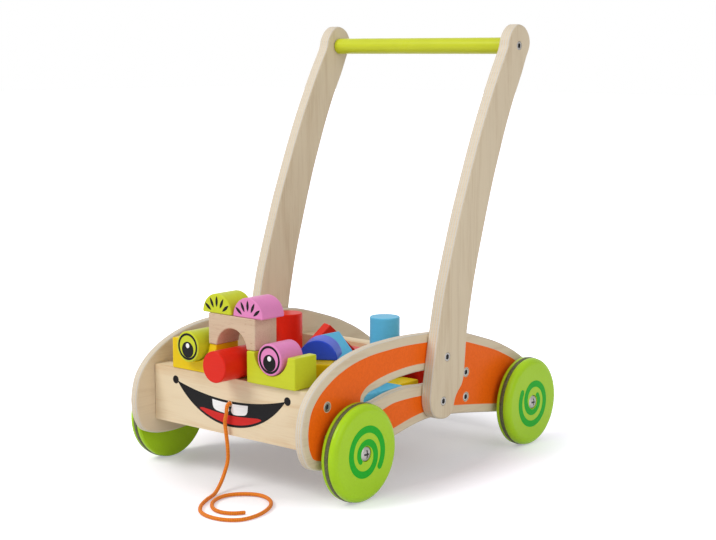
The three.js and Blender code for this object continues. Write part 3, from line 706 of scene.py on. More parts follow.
def eased(corners, radius, steps=5):
    """The outline with a circle's arc in place of each sharp corner: a blend of the arc's ends and the
    corner by the squares of t and 1 - t, where the corner weighs as the cosine of half the turn."""
    corners = np.asarray(corners, float)
    made = []
    for before, here, after in zip(np.roll(corners, 1, 0), corners, np.roll(corners, -1, 0)):
        to_before, to_after = before - here, after - here
        a, b = np.linalg.norm(to_before), np.linalg.norm(to_after)
        to_before, to_after = to_before / a, to_after / b
        turn_angle = math.pi - math.acos(float(np.clip(to_before @ to_after, -1, 1)))
        if turn_angle < SHARP_TURN:
            made.append(here[None])
            continue
        reach = min(radius * math.tan(turn_angle / 2), LONGEST_EASE * a, LONGEST_EASE * b)
        t = np.linspace(0, 1, steps + 1)[:, None]
        start, end = here + to_before * reach, here + to_after * reach
        weight = math.cos(turn_angle / 2)
        share = (1 - t) ** 2 + 2 * weight * t * (1 - t) + t**2
        made.append(((1 - t) ** 2 * start + 2 * weight * t * (1 - t) * here + t**2 * end) / share)
    return np.vstack(made)


def counterclockwise(outline):
    """The outline in the order whose enclosed area is positive."""
    x, y = outline[:, 0], outline[:, 1]
    area = (x * np.roll(y, -1) - np.roll(x, -1) * y).sum() / 2
    return outline if area > 0 else outline[::-1]


def smooth_outline(shares, low, high, count):
    """A closed centripetal spline through shares of a box, stretched so that it reaches exactly as far as
    they do, with its points evenly spaced."""
    places = np.asarray(low) + np.asarray(shares) * (np.asarray(high) - np.asarray(low))
    wrapped = np.vstack([places[-3:], places, places[:3]])
    curve = smooth_route(np.column_stack([wrapped, np.zeros(len(wrapped))]), CURVE_STEPS)[:, :2]
    curve = curve[3 * CURVE_STEPS : (3 + len(places)) * CURVE_STEPS]
    curve = places.min(0) + (curve - curve.min(0)) / np.ptp(curve, axis=0) * np.ptp(places, axis=0)
    closed = np.vstack([curve, curve[:1]])
    run = np.concatenate([[0], np.cumsum(np.linalg.norm(np.diff(closed, axis=0), axis=1))])
    at = np.linspace(0, run[-1], count + 1)[:-1]
    return counterclockwise(np.stack([np.interp(at, run, closed[:, i]) for i in range(2)], 1))


def moved_in(outline, distance):
    """The outline moved inwards; points that come nearer to it than about that distance are left out."""
    made = outline - outline_normals(outline) * distance
    gap = np.linalg.norm(made[:, None] - outline[None], axis=2).min(1)
    return made[gap > distance * CLEAR_SHARE]


def circle(radius, centre=(0, 0), count=64):
    """Cosine and sine of evenly spaced angles, times the radius, round a centre."""
    angle = np.linspace(0, 2 * math.pi, count, endpoint=False)
    return np.stack([centre[0] + radius * np.cos(angle), centre[1] + radius * np.sin(angle)], 1)


print("outline helpers ready")


# %% [markdown]
# Flat faces. The face of a board with a window and bores is the area between outlines. Its points are
# joined into triangles by Blender, and those outside the board or inside a hole are dropped. A point
# is inside an outline when a line from it crosses the outline an odd number of times.

# %% Triangles between outlines
def inside(points, outline):
    """For each point, whether a line to the right of it crosses the outline an odd number of times."""
    a, b = outline, np.roll(outline, -1, 0)
    x, y = points[:, :1], points[:, 1:]
    spans = (a[None, :, 1] > y) != (b[None, :, 1] > y)
    rise = np.where(b[:, 1] == a[:, 1], 1e-12, b[:, 1] - a[:, 1])
    cross = a[None, :, 0] + (y - a[None, :, 1]) * (b[:, 0] - a[:, 0])[None] / rise[None]
    return ((spans & (x < cross)).sum(1) % 2) == 1


def fill_between(outer, holes=()):
    """Points and triangles of the flat area inside `outer` and outside each of `holes`."""
    loops = [outer, *holes]
    points = np.vstack(loops)
    starts = np.cumsum([0] + [len(loop) for loop in loops])
    edges = []
    for start, loop in zip(starts, loops):
        index = start + np.arange(len(loop))
        edges += list(zip(index.tolist(), np.roll(index, -1).tolist()))
    scale = 1 / np.ptp(points, axis=0).max()
    made = delaunay_2d_cdt([Vector(p) for p in (points * scale).tolist()], edges, [], 0, 1e-9)
    triangles = np.array(made[2])
    source = np.array([ids[0] if ids else -1 for ids in made[3]])
    triangles = source[triangles]
    middles = points[triangles].mean(1)
    keep = inside(middles, outer)
    for hole in holes:
        keep &= ~inside(middles, hole)
    triangles = triangles[keep & (triangles >= 0).all(1)]
    a, b, c = (points[triangles[:, i]] for i in range(3))
    turned = (b[:, 0] - a[:, 0]) * (c[:, 1] - a[:, 1]) - (b[:, 1] - a[:, 1]) * (c[:, 0] - a[:, 0]) < 0
    triangles[turned] = triangles[turned][:, ::-1]
    return points, triangles, starts


print("fill_between makes flat faces with holes")


# %% [markdown]
# A sawn piece has one wall along its outline, one along its window and one in each bore. The two flat
# faces join them: their triangles use the first and the last ring of points of every wall.

# %% A sawn piece
BORE_POINTS, EDGE_STEPS = 40, 5


def sawn_object(name, outline, depth, edge, place, material, bores=(), opening=None):
    """A piece sawn from a board. The outline lies in the first two numbers, its depth runs along the third
    from 0 to `depth`, and `place` turns (u, v, w) points into the object's frame. `edge` is the radius
    of the eased edges. Each bore is (centre, [(radius, depth), ...]); `opening` is a sawn-out window."""
    outline = counterclockwise(outline)
    angle = np.linspace(0, math.pi / 2, EDGE_STEPS + 1)
    inset = edge * (1 - np.sin(angle))
    sink = edge * (1 - np.cos(angle))
    profile = np.vstack([np.stack([inset, sink], 1), np.stack([inset[::-1], depth - sink[::-1]], 1)])

    def wall(loops_down):
        """One ring of points for each (loop, depth)."""
        return np.stack([np.column_stack([loop, np.full(len(loop), w)]) for loop, w in loops_down])

    out = outline_normals(outline)
    walls = [wall([(outline - out * i, w) for i, w in profile])]
    if opening is not None:
        opening = counterclockwise(opening)
        out = outline_normals(opening)
        walls.append(wall([(opening + out * i, w) for i, w in profile]))
    for centre, steps_down in bores:
        walls.append(wall([(circle(radius, centre, BORE_POINTS), w) for radius, w in steps_down]))
    points, faces, count = [], [], 0
    for index, rings in enumerate(walls):
        quads = grid_faces(*rings.shape[:2], False, True) + count
        faces += quads.tolist() if index else quads[:, ::-1].tolist()
        points.append(rings.reshape(-1, 3))
        count += len(points[-1])
    firsts = np.cumsum([0] + [rings.shape[0] * rings.shape[1] for rings in walls])
    for row in (0, -1):
        loops = [rings[row][:, :2] for rings in walls]
        _, triangles, starts = fill_between(loops[0], loops[1:])
        number = np.concatenate([
            first + (rings.shape[0] - 1 if row else 0) * rings.shape[1] + np.arange(rings.shape[1])
            for first, rings in zip(firsts, walls)
        ])
        faces += number[triangles if row else triangles[:, ::-1]].tolist()
    piece = mesh_object(name, place(np.vstack(points)), faces, material, 50)
    outwards(piece)
    return piece


print("sawn_object makes panels, posts and blocks")


# %% [markdown]
# The side panels. Each is one sweep of plywood with a long window, cut from the same pattern on both
# sides. The outline's points are shares of the panel's box, so that it always has the solid model's
# size. Counterbores take the heads of the four board screws, and plain holes take the axles.

# %% Side panels
SCREW_HEAD, SCREW_SHANK, SCREW_SINK = 4.7 * MM, 2.4 * MM, 2.4 * MM
SEAT_GAP = 0.3 * MM
AXLE_BORE = AXLE_RADIUS + SEAT_GAP
PANEL_EDGE, POST_EDGE = 3.0 * MM, 2.5 * MM
OUTLINE_POINTS, WINDOW_POINTS, FIELD_POINTS = 420, 200, 240
panel_outline_shares = [
    [0, 0.336], [0.001, 0.407], [0.006, 0.497], [0.015, 0.584], [0.032, 0.668], [0.056, 0.748],
    [0.098, 0.842], [0.14, 0.905], [0.182, 0.948], [0.247, 0.985], [0.312, 0.997], [0.382, 1],
    [0.485, 0.982], [0.56, 0.954], [0.625, 0.917], [0.708, 0.833], [0.78, 0.749], [0.822, 0.686],
    [0.862, 0.619], [0.901, 0.54], [0.944, 0.435], [0.977, 0.318], [0.996, 0.18], [0.994, 0.08],
    [0.972, 0.02], [0.93, 0], [0.857, 0.015], [0.777, 0.059], [0.663, 0.125], [0.574, 0.169],
    [0.495, 0.192], [0.425, 0.174], [0.341, 0.12], [0.257, 0.059], [0.178, 0.012], [0.128, 0],
    [0.065, 0.02], [0.025, 0.08], [0.006, 0.2],
]
window_outline_shares = [
    [0.225, 0.52], [0.243, 0.572], [0.282, 0.599], [0.345, 0.638], [0.394, 0.648], [0.444, 0.649],
    [0.5, 0.63], [0.53, 0.59], [0.536, 0.55], [0.52, 0.52], [0.465, 0.519], [0.394, 0.54],
    [0.354, 0.535], [0.315, 0.52], [0.257, 0.485], [0.232, 0.492],
]


def side_place(side, outer_x):
    """Turns (y, z, depth from the outer face) into the object's frame for the left or right side."""
    def place(points):
        return np.column_stack([side * (outer_x - points[:, 2]), points[:, 0], points[:, 1]])
    return place


def counterbore(node, thick):
    """A screw's hole through a board: a wide bore for its head, then a narrower one for its shank."""
    wide, narrow, sink = (size + SEAT_GAP for size in (SCREW_HEAD, SCREW_SHANK, SCREW_SINK))
    return middle(node)[1:], [(wide, 0), (wide, sink), (narrow, sink), (narrow, thick)]


SIDES = (("left", -1), ("right", 1))
ENDS, LEVELS = ("front", "rear"), ("upper", "lower")
panel_low, panel_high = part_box("side_panel_right")
PANEL_X, PANEL_THICK, PANEL_LAYERS = panel_high.x, panel_high.x - panel_low.x, 7
panel_outline = smooth_outline(panel_outline_shares, panel_low[1:], panel_high[1:], OUTLINE_POINTS)
window_outline = smooth_outline(window_outline_shares, panel_low[1:], panel_high[1:], WINDOW_POINTS)
for word, side in SIDES:
    bores = []
    for end in ENDS:
        for level in LEVELS:
            bores.append(counterbore(f"{end}_board_screw_{word}_{level}", PANEL_THICK))
        bores.append((middle(f"{end}_axle")[1:], [(AXLE_BORE, 0), (AXLE_BORE, PANEL_THICK)]))
    plywood = layered_finish(
        f"panel_plywood_{word}", "y", side * (PANEL_X - PANEL_THICK / 2), PANEL_THICK, PANEL_LAYERS,
    )
    panel = sawn_object(
        f"panel_{word}", panel_outline, PANEL_THICK, PANEL_EDGE, side_place(side, PANEL_X), plywood,
        bores, window_outline,
    )
    finished(panel, "cart", "plywood", f"side_panel_{word}")
    print(panel.name, len(panel.data.polygons), "faces")


# %% [markdown]
# The handle posts lean back in one gentle curve that swells towards the foot and ends in a rounded
# tip. Their grain runs up the curve, so the grain's coordinates are turned by the post's mean lean.

# %% Handle posts
post_outline_shares = [
    [0.16, 0], [0.105, 0.002], [0.055, 0.009], [0.022, 0.023], [0.004, 0.042], [0, 0.061],
    [0.008, 0.092], [0.032, 0.148], [0.055, 0.201], [0.113, 0.312], [0.165, 0.383], [0.222, 0.453],
    [0.281, 0.523], [0.349, 0.594], [0.418, 0.664], [0.493, 0.735], [0.575, 0.805], [0.66, 0.872],
    [0.717, 0.913], [0.754, 0.941], [0.771, 0.965], [0.807, 0.987], [0.859, 1], [0.917, 0.998],
    [0.967, 0.985], [0.997, 0.962], [0.994, 0.94], [0.96, 0.913], [0.914, 0.872], [0.828, 0.805],
    [0.75, 0.735], [0.681, 0.664], [0.617, 0.594], [0.56, 0.523], [0.507, 0.453], [0.456, 0.383],
    [0.412, 0.312], [0.362, 0.208], [0.345, 0.136], [0.337, 0.102], [0.315, 0.077], [0.274, 0.06],
    [0.249, 0.045], [0.235, 0.027], [0.207, 0.007],
]
post_low, post_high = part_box("handle_post_right")
POST_X, POST_THICK, POST_LAYERS = post_high.x, post_high.x - post_low.x, 9
MEAN_LEAN = 0.75
POST_LEAN = math.degrees(math.atan2(post_high.y - post_low.y, post_high.z - post_low.z)) * MEAN_LEAN
post_outline = smooth_outline(post_outline_shares, post_low[1:], post_high[1:], OUTLINE_POINTS)
for word, side in SIDES:
    screws = [f"post_bolt_{word}_{level}" for level in LEVELS] + [f"bar_screw_{word}"]
    plywood = layered_finish(
        f"post_plywood_{word}", "z", side * (POST_X - POST_THICK / 2), POST_THICK, POST_LAYERS,
        (POST_LEAN, 0, 0),
    )
    post = sawn_object(
        f"post_{word}", post_outline, POST_THICK, POST_EDGE, side_place(side, POST_X), plywood,
        [counterbore(node, POST_THICK) for node in screws],
    )
    finished(post, "cart", "plywood", f"handle_post_{word}")
    print(post.name, len(post.data.polygons), "faces")


# %% [markdown]
# The boards and the tray's floor have the right shape in the solid model already: straight, with
# grooves, holes and eased edges. A copy of the solid's mesh, with its loose triangles merged and its
# flat faces kept flat, takes the wood finish.

# %% Boards and floor of the tray
def dressed(node, name, material, slot):
    """A merged copy of a solid's mesh with a finish of its own."""
    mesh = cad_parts[node].data.copy()
    mesh.name = name
    made = bmesh.new()
    made.from_mesh(mesh)
    bmesh.ops.remove_doubles(made, verts=made.verts[:], dist=1e-6)
    bmesh.ops.dissolve_limit(made, angle_limit=math.radians(0.5), verts=made.verts[:], edges=made.edges[:])
    made.to_mesh(mesh)
    made.free()
    mesh.materials.clear()
    mesh.materials.append(material)
    mesh.polygons.foreach_set("use_smooth", np.ones(len(mesh.polygons), bool))
    mesh.set_sharp_from_angle(angle=math.radians(50))
    piece = bpy.data.objects.new(name, mesh)
    bpy.context.scene.collection.objects.link(piece)
    keep_flat(piece)
    finished(piece, "cart", slot, node)


for end in ENDS:
    dressed(f"{end}_board", f"tray_board_{end}", pine, "pine")
dressed("tray_floor", "tray_floor_ply", tray_ply, "plywood")
print("two boards and the tray's floor are dressed")


# %% [markdown]
# Turned pieces: the bar, the axles, the spacers, the wheels and the round blocks come off a lathe. Each
# is a profile, given as radius and distance along the axis, that turns once round. The profile's
# corners are eased with the same small arcs as the sawn outlines.

# %% A lathe
def lathe_object(name, profile, axis, start, direction, material, around=96, closed=False):
    """A profile of (radius, distance) turned round an axis ("x", "y" or "z") that runs from the place
    `start` in `direction` (1 or -1): its radius times cosine and sine of the angle lies across the axis.
    An open profile starts and ends on the axis, and gets one point there."""
    profile = np.asarray(profile, float)
    angle = np.linspace(0, 2 * math.pi, around, endpoint=False)
    inner = profile if closed else profile[1:-1]
    along = np.repeat(inner[:, 1:], around, 1) * direction
    first = inner[:, :1] * np.cos(angle)
    second = inner[:, :1] * np.sin(angle)
    order = {"x": (along, first, second), "y": (second, along, first), "z": (first, second, along)}[axis]
    points = np.stack(order, -1).reshape(-1, 3)
    faces = grid_faces(len(inner), around, closed, True).tolist()
    if not closed:
        count = len(points)
        unit = np.array([axis == "x", axis == "y", axis == "z"], float) * direction
        points = np.vstack([points, unit * profile[0, 1], unit * profile[-1, 1]])
        turn_on = np.roll(np.arange(around), -1)
        faces += [[count, b, a] for a, b in zip(range(around), turn_on)]
        last = count - around
        faces += [[count + 1, last + a, last + b] for a, b in zip(range(around), turn_on)]
    piece = mesh_object(name, points + np.asarray(start), faces, material)
    outwards(piece)
    return piece


def round_profile(radius, long, edge):
    """A rod's profile: along one end, the side and the other end, with small arcs at its corners. Its first
    and last points stay on the axis."""
    corners = np.array([(0, 0), (radius, 0), (radius, long), (0, long)])
    arcs = eased(np.vstack([corners, [[-1, long], [-1, 0]]]), edge)
    return np.vstack([corners[:1], arcs[arcs[:, 0] > 1e-6], corners[-1:]])


def crosswise(node):
    """How long a node's box is along x, and the place on its own axis where it starts."""
    low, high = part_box(node)
    _, y, z = middle(node)
    return high.x - low.x, (low.x, y, z)


BAR_RADIUS, SPACER_RADIUS = 9.25 * MM, 9.0 * MM
BAR_EDGE, AXLE_EDGE, SPACER_EDGE = 1.2 * MM, 0.6 * MM, 0.8 * MM
long, start = crosswise("handle_bar")
bar = lathe_object("bar", round_profile(BAR_RADIUS, long, BAR_EDGE), "x", start, 1, bar_lime, 128)
finished(bar, "cart", "lacquer_bar", "handle_bar")
for end in ENDS:
    long, start = crosswise(f"{end}_axle")
    rod = lathe_object(
        f"{end}_axle_rod", round_profile(AXLE_RADIUS, long, AXLE_EDGE), "x", start, 1, zinc, 48,
    )
    finished(rod, "cart", "steel", f"{end}_axle")
    for word, side in SIDES:
        node = f"{end}_spacer_{word}"
        wide, (low_x, _, _) = crosswise(node)
        corners = [(AXLE_BORE, 0), (SPACER_RADIUS, 0), (SPACER_RADIUS, wide), (AXLE_BORE, wide)]
        ring = lathe_object(
            f"{node}_turned", eased(corners, SPACER_EDGE), "x", (low_x, *start[1:]), 1, beech, 64, True,
        )
        finished(ring, "cart", "beech", node)
print("bar, axles and spacers are turned")


# %% [markdown]
# The wheels. Each is a turned disc of lacquered wood with a well rounded outer edge. Near the inside
# a groove holds a rubber ring that stands a hair proud of the wood, so that the toy doesn't slip on a
# hard floor. A shallow recess at the hub takes the screw's head. The printed spiral comes later.

# %% Wheels and rubber rings
WHEEL_RADIUS, TYRE_RADIUS, TYRE_WIDTH = 50.5 * MM, 51.0 * MM, 4.4 * MM
TYRE_SEAT_DEPTH, TYRE_INSET = 2.4 * MM, 4.7 * MM
FACE_RADIUS, EDGE_ROUND, INNER_CHAMFER = 43.0 * MM, 6.5 * MM, 1.5 * MM
HUB_RADIUS, HUB_DEPTH = 8.0 * MM, 2.0 * MM
GROOVE_EDGE, RUBBER_EDGE, WHEEL_POINTS = 0.45 * MM, 1.8 * MM, 160
wheel_low, wheel_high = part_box("front_wheel_right")
WHEEL_WIDE, WHEEL_X = wheel_high.x - wheel_low.x, wheel_high.x
seat_end = WHEEL_WIDE - TYRE_INSET
seat_start = seat_end - TYRE_WIDTH - 2 * SEAT_GAP
seat_radius = WHEEL_RADIUS - TYRE_SEAT_DEPTH
# The rounded edge is a quarter of an ellipse: sine and one less cosine of the angle, times its two sizes.
quarter = np.linspace(0, math.pi / 2, 14)
rim = np.stack([
    FACE_RADIUS + (WHEEL_RADIUS - FACE_RADIUS) * np.sin(quarter), EDGE_ROUND * (1 - np.cos(quarter)),
], 1)
wheel_profile = eased(np.vstack([
    [(AXLE_BORE, HUB_DEPTH), (HUB_RADIUS, HUB_DEPTH), (HUB_RADIUS, 0)],
    rim,
    [
        (WHEEL_RADIUS, seat_start), (seat_radius, seat_start),
        (seat_radius, seat_end), (WHEEL_RADIUS, seat_end),
        (WHEEL_RADIUS, WHEEL_WIDE - INNER_CHAMFER), (WHEEL_RADIUS - INNER_CHAMFER, WHEEL_WIDE),
        (AXLE_BORE, WHEEL_WIDE),
    ],
]), GROOVE_EDGE, 4)
ring_inside = seat_radius + SEAT_GAP
ring_profile = eased([
    (ring_inside, 0), (TYRE_RADIUS, 0), (TYRE_RADIUS, TYRE_WIDTH), (ring_inside, TYRE_WIDTH),
], RUBBER_EDGE, 8)
for end in ENDS:
    _, y, z = middle(f"{end}_axle")
    for word, side in SIDES:
        body = f"{end}_wheel_{word}"
        start = (side * WHEEL_X, y, z)
        wheel = lathe_object(
            f"{body}_turned", wheel_profile, "x", start, -side, wheel_green, WHEEL_POINTS, True,
        )
        finished(wheel, body, "lacquer_green", body)
        start = (side * (WHEEL_X - seat_start - SEAT_GAP), y, z)
        ring = lathe_object(
            f"{end}_rubber_{word}", ring_profile, "x", start, -side, rubber, WHEEL_POINTS, True,
        )
        finished(ring, body, "rubber", f"{end}_tyre_{word}")
print("four wheels with their rubber rings")


# %% [markdown]
# Screws. Two kinds hold the cart together. Socket-head bolts sit in counterbores in the panels and the
# posts: a low round head with a hexagonal hole. The hub screws have a domed head with a cross. The
# hexagon is a circle whose radius changes with the angle, and the cross is a dip in the dome, worked
# out as a height for each point of a disc. The walls and floor of the hexagonal hole and the cross get
# a near-black finish: painted shade in these recesses.

# %% Socket-head screws
SOCKET_RADIUS, SOCKET_DEPTH, HEAD_EDGE = 3.0 * MM, 1.7 * MM, 0.5 * MM
SOCKET_LIP, SOCKET_LIP_SHARE, PINHOLE = 0.25 * MM, 1.12, 0.02 * MM
head_steel = metal_finish("head_steel", (0.38, 0.37, 0.34, 1), 0.34)
# Near-black steel for the insides of the sockets and crosses: painted shade in the recesses.
painted_recess_shade = metal_finish("painted_recess_shade", (0.10, 0.10, 0.10, 1), 0.5)


def socket_screw(node, side, outer_x):
    """Rings from the socket's floor out over the head and down the shank. A hexagon's radius at an angle
    is its inner radius over the cosine of the angle to the middle of the nearest side."""
    long, (_, y, z) = crosswise(node)
    around = np.linspace(0, 2 * math.pi, 60, endpoint=False)
    hexagon = math.cos(math.pi / 6) / np.cos((around + math.pi / 6) % (math.pi / 3) - math.pi / 6)
    edge = np.linspace(0, math.pi / 2, 5)
    socket = [
        (PINHOLE, SOCKET_DEPTH), (SOCKET_RADIUS, SOCKET_DEPTH), (SOCKET_RADIUS, SOCKET_LIP),
        (SOCKET_RADIUS * SOCKET_LIP_SHARE, 0),
    ]
    head = np.stack([SCREW_HEAD - HEAD_EDGE * (1 - np.sin(edge)), HEAD_EDGE * (1 - np.cos(edge))], 1)
    shank = [(SCREW_HEAD, SCREW_SINK), (SCREW_SHANK, SCREW_SINK), (SCREW_SHANK, long), (PINHOLE, long)]
    radius, depth = np.vstack([socket, head, shank]).T[:, :, None]
    is_socket = np.arange(len(radius))[:, None] < len(socket)
    reach = radius * np.where(is_socket, hexagon, 1.0)
    points = np.stack([
        side * (outer_x - depth) + 0 * reach, y + reach * np.cos(around), z + reach * np.sin(around),
    ], -1).reshape(-1, 3)
    faces = capped_faces(len(radius), len(around))
    piece = mesh_object(f"{node}_head", points, faces, head_steel, 35)
    outwards(piece)
    # The socket's walls and floor take the painted shade.
    piece.data.materials.append(painted_recess_shade)
    for index in (*range(2 * len(around)), len(faces) - 2):
        piece.data.polygons[index].material_index = 1
    finished(piece, "cart", "steel", node)


for word, side in SIDES:
    for end in ENDS:
        for level in LEVELS:
            socket_screw(f"{end}_board_screw_{word}_{level}", side, PANEL_X)
    for level in LEVELS:
        socket_screw(f"post_bolt_{word}_{level}", side, POST_X)
    socket_screw(f"bar_screw_{word}", side, POST_X)
print("fourteen socket-head screws")


# %% [markdown]
# The hub screws' heads. A disc of points is lowered from its middle outwards, which makes the dome, and
# lowered again where the cross is. A narrow slope on the cross's sides keeps its edges even.

# %% Hub screws
HUB_HEAD, HUB_RISE, HUB_SHANK = 7.6 * MM, 3.2 * MM, 2.0 * MM
SLOT_LONG, SLOT_WIDE, SLOT_DEEP = 8.8 * MM, 1.9 * MM, 1.8 * MM
SLOT_SIDE, SLOT_END, IN_CROSS = 0.22 * MM, 0.9 * MM, 0.6
DOME_FALL, RIM_FALL = 0.62 * HUB_RISE, 0.12 * HUB_RISE


def hub_screw(node, side):
    """A dome whose height falls with the square of the radius, and a little with its eighth power, less a
    cross whose depth eases in over its edges."""
    long, (low_x, y, z) = crosswise(node)
    tip_x = low_x + long if side > 0 else low_x
    around = np.linspace(0, 2 * math.pi, 96, endpoint=False)
    radius = np.concatenate([np.linspace(0.01, 0.62, 34), np.linspace(0.66, 1, 9)]) * HUB_HEAD
    r, a = np.meshgrid(radius, around, indexing="ij")
    u, v = r * np.cos(a), r * np.sin(a)
    fall = DOME_FALL * (r / HUB_HEAD) ** 2 + RIM_FALL * (r / HUB_HEAD) ** 8

    def arm(across, along):
        """1 inside one bar of the cross, 0 outside it, and a slope between."""
        inner = np.clip((SLOT_WIDE / 2 - np.abs(across)) / SLOT_SIDE + 0.5, 0, 1)
        return inner * np.clip((SLOT_LONG / 2 - np.abs(along)) / SLOT_END, 0, 1)

    cross = np.maximum(arm(u, v), arm(v, u))
    depth = fall + SLOT_DEEP * cross
    flat = np.array([(HUB_HEAD, HUB_RISE), (HUB_SHANK, HUB_RISE), (HUB_SHANK, long), (PINHOLE, long)])
    r = np.vstack([r, np.repeat(flat[:, :1], len(around), 1)])
    depth = np.vstack([depth, np.repeat(flat[:, 1:], len(around), 1)])
    points = np.stack([
        tip_x - side * depth, y + r * np.cos(around), z + r * np.sin(around),
    ], -1).reshape(-1, 3)
    piece = mesh_object(f"{node}_head", points, capped_faces(len(r), len(around)), head_steel, 35)
    outwards(piece)
    # The faces inside the cross take the painted shade.
    piece.data.materials.append(painted_recess_shade)
    in_cross = cross.ravel() > IN_CROSS
    for polygon in piece.data.polygons:
        corners = np.array(polygon.vertices)
        if corners.max() < len(in_cross) and in_cross[corners].all():
            polygon.material_index = 1
    finished(piece, "cart", "steel", node)


for end in ENDS:
    for word, side in SIDES:
        hub_screw(f"{end}_hub_screw_{word}", side)
print("four hub screws")


# %% [markdown]
# The building blocks. Every block's place comes from the box of its solid, and each is sawn or turned
# with the helpers above. A sawn block's outline stands upright and its depth runs from front to back;
# some blocks are then turned on the spot, as they lie in the tray.

# %% Blocks from an outline
UNIT, LONG, HALF, TALL = 33 * MM, 67 * MM, 16.5 * MM, 49.5 * MM
BLOCK_EDGE, CORNER = 1.2 * MM, 1.5 * MM
ROUND_RADIUS = 16.5 * MM
NOTCH_HALF, NOTCH_DEEP, ARCH_HALF, ARCH_RISE = 23.3 * MM, 21.6 * MM, 21.3 * MM, 19.5 * MM
HALF_ROUND_HALF, HALF_ROUND_RISE = 21.0 * MM, 20.8 * MM


def box_outline(width, height):
    """A rectangle that stands on z = 0."""
    return np.array([(-width / 2, 0), (width / 2, 0), (width / 2, height), (-width / 2, height)])


def arch(half, rise, count=36):
    """Points of the arc that stands on z = 0, from x = half to x = -half, and is `rise` high in the middle:
    its radius is the sum of their squares over twice the rise. The first and last chords are long enough
    to take an eased corner."""
    radius = (half**2 + rise**2) / (2 * rise)
    start = math.asin((radius - rise) / radius)
    step = 2.3 * CORNER / radius
    between = np.linspace(start + step, math.pi - start - step, count)
    angle = np.concatenate([[start], between, [math.pi - start]])
    return np.stack([radius * np.cos(angle), rise - radius + radius * np.sin(angle)], 1)


def cradle_outline():
    """A long block with a round notch in its top."""
    corners = [(-LONG / 2, 0), (LONG / 2, 0), (LONG / 2, UNIT)]
    notch = arch(NOTCH_HALF, NOTCH_DEEP) * (1, -1) + (0, UNIT)
    return np.vstack([corners, notch, [(-LONG / 2, UNIT)]])


def bridge_outline():
    """A long block with an arch in its underside."""
    corners = [(LONG / 2, 0), (LONG / 2, UNIT), (-LONG / 2, UNIT), (-LONG / 2, 0)]
    return np.vstack([arch(ARCH_HALF, ARCH_RISE)[::-1], corners])


def half_round_outline():
    """Nearly half a circle."""
    return arch(HALF_ROUND_HALF, HALF_ROUND_RISE, 48)


def roof_outline(base, height):
    """A triangle with two equal sides."""
    return np.array([(-base / 2, 0), (base / 2, 0), (0, height)])


def sawn_block(node, outline, depth, material, slot, degrees=0.0):
    """A block standing on the low face of its node's box, in the middle of it, and turned about z."""
    x, y, _ = middle(node)
    low_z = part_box(node)[0].z
    spin = math.radians(degrees)

    def place(points):
        u, v, w = points[:, 0], points[:, 1], points[:, 2] - depth / 2
        cos, sin = math.cos(spin), math.sin(spin)
        return np.column_stack([x + u * cos - w * sin, y + u * sin + w * cos, low_z + v])

    piece = sawn_object(f"{node}_sawn", eased(outline, CORNER), depth, BLOCK_EDGE, place, material)
    finished(piece, node, slot, node)


YELLOW_TURN, RED_ROOF_TURN = 31.5, 65.0
sawn_blocks = [
    ("cradle_block_left", cradle_outline(), UNIT, block_yellow, "lacquer_yellow", 0),
    ("cradle_block_right", cradle_outline(), UNIT, block_lime, "lacquer_lime", 0),
    ("bridge_block", bridge_outline(), UNIT, beech, "beech", 0),
    ("half_round_left", half_round_outline(), UNIT, block_lime, "lacquer_lime", 0),
    ("half_round_right", half_round_outline(), UNIT, block_pink, "lacquer_pink", 0),
    ("tall_block_yellow", box_outline(UNIT, TALL), TALL, block_yellow, "lacquer_yellow", YELLOW_TURN),
    ("half_round_blue", half_round_outline(), UNIT, block_blue, "lacquer_blue", YELLOW_TURN),
    ("cube_natural", box_outline(UNIT, UNIT), UNIT, beech, "beech", 0),
    ("roof_block_blue", roof_outline(2 * UNIT, UNIT), UNIT, block_sky, "lacquer_sky", 0),
    ("long_block_red", box_outline(UNIT, UNIT), LONG, block_red, "lacquer_red", 0),
    ("roof_block_red", roof_outline(LONG, UNIT), HALF, block_red, "lacquer_red", RED_ROOF_TURN),
    ("plank_yellow", box_outline(LONG, HALF), UNIT, block_yellow, "lacquer_yellow", 0),
    ("plank_blue", box_outline(UNIT, HALF), LONG, block_sky, "lacquer_sky", 0),
    ("cube_red", box_outline(UNIT, UNIT), UNIT, block_red, "lacquer_red", 0),
]
for block in sawn_blocks:
    sawn_block(*block)
print(len(sawn_blocks), "sawn blocks")


# %% [markdown]
# Five blocks are cylinders: the nose and the two eyes lie with an end to the front, and two pillars
# stand in the tray. They come off the lathe.

# %% Turned blocks
def turned_block(node, axis, material, slot):
    """A cylinder along y or z that fills its node's box."""
    low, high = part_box(node)
    x, y, z = middle(node)
    index = "xyz".index(axis)
    start = (x, low.y, z) if axis == "y" else (x, y, low.z)
    profile = round_profile(ROUND_RADIUS, high[index] - low[index], BLOCK_EDGE)
    piece = lathe_object(f"{node}_turned", profile, axis, start, 1, material)
    finished(piece, node, slot, node)


turned_blocks = [
    ("nose_block", "y", block_red, "lacquer_red"),
    ("eye_block_left", "y", block_lime, "lacquer_lime"),
    ("eye_block_right", "y", block_pink, "lacquer_pink"),
    ("pillar_block_red", "z", block_red, "lacquer_red"),
    ("pillar_block_blue", "z", block_sky, "lacquer_sky"),
]
for block in turned_blocks:
    turned_block(*block)
print(len(turned_blocks), "turned blocks")


# %% [markdown]
# Prints. The orange field on the panels, the spirals on the wheels, the rays and the eyes on the blocks
# and the smile on the board are screen-printed on the real toy. A print could be an image, but then
# its edge would blur up close. Here each is a slab a tenth of a millimetre thick, cut to its outline
# and sunk a little into the wood, so that it has a true edge and catches the light as ink does.

# %% A printed shape
INK, INK_SINK = 0.12 * MM, 0.05 * MM


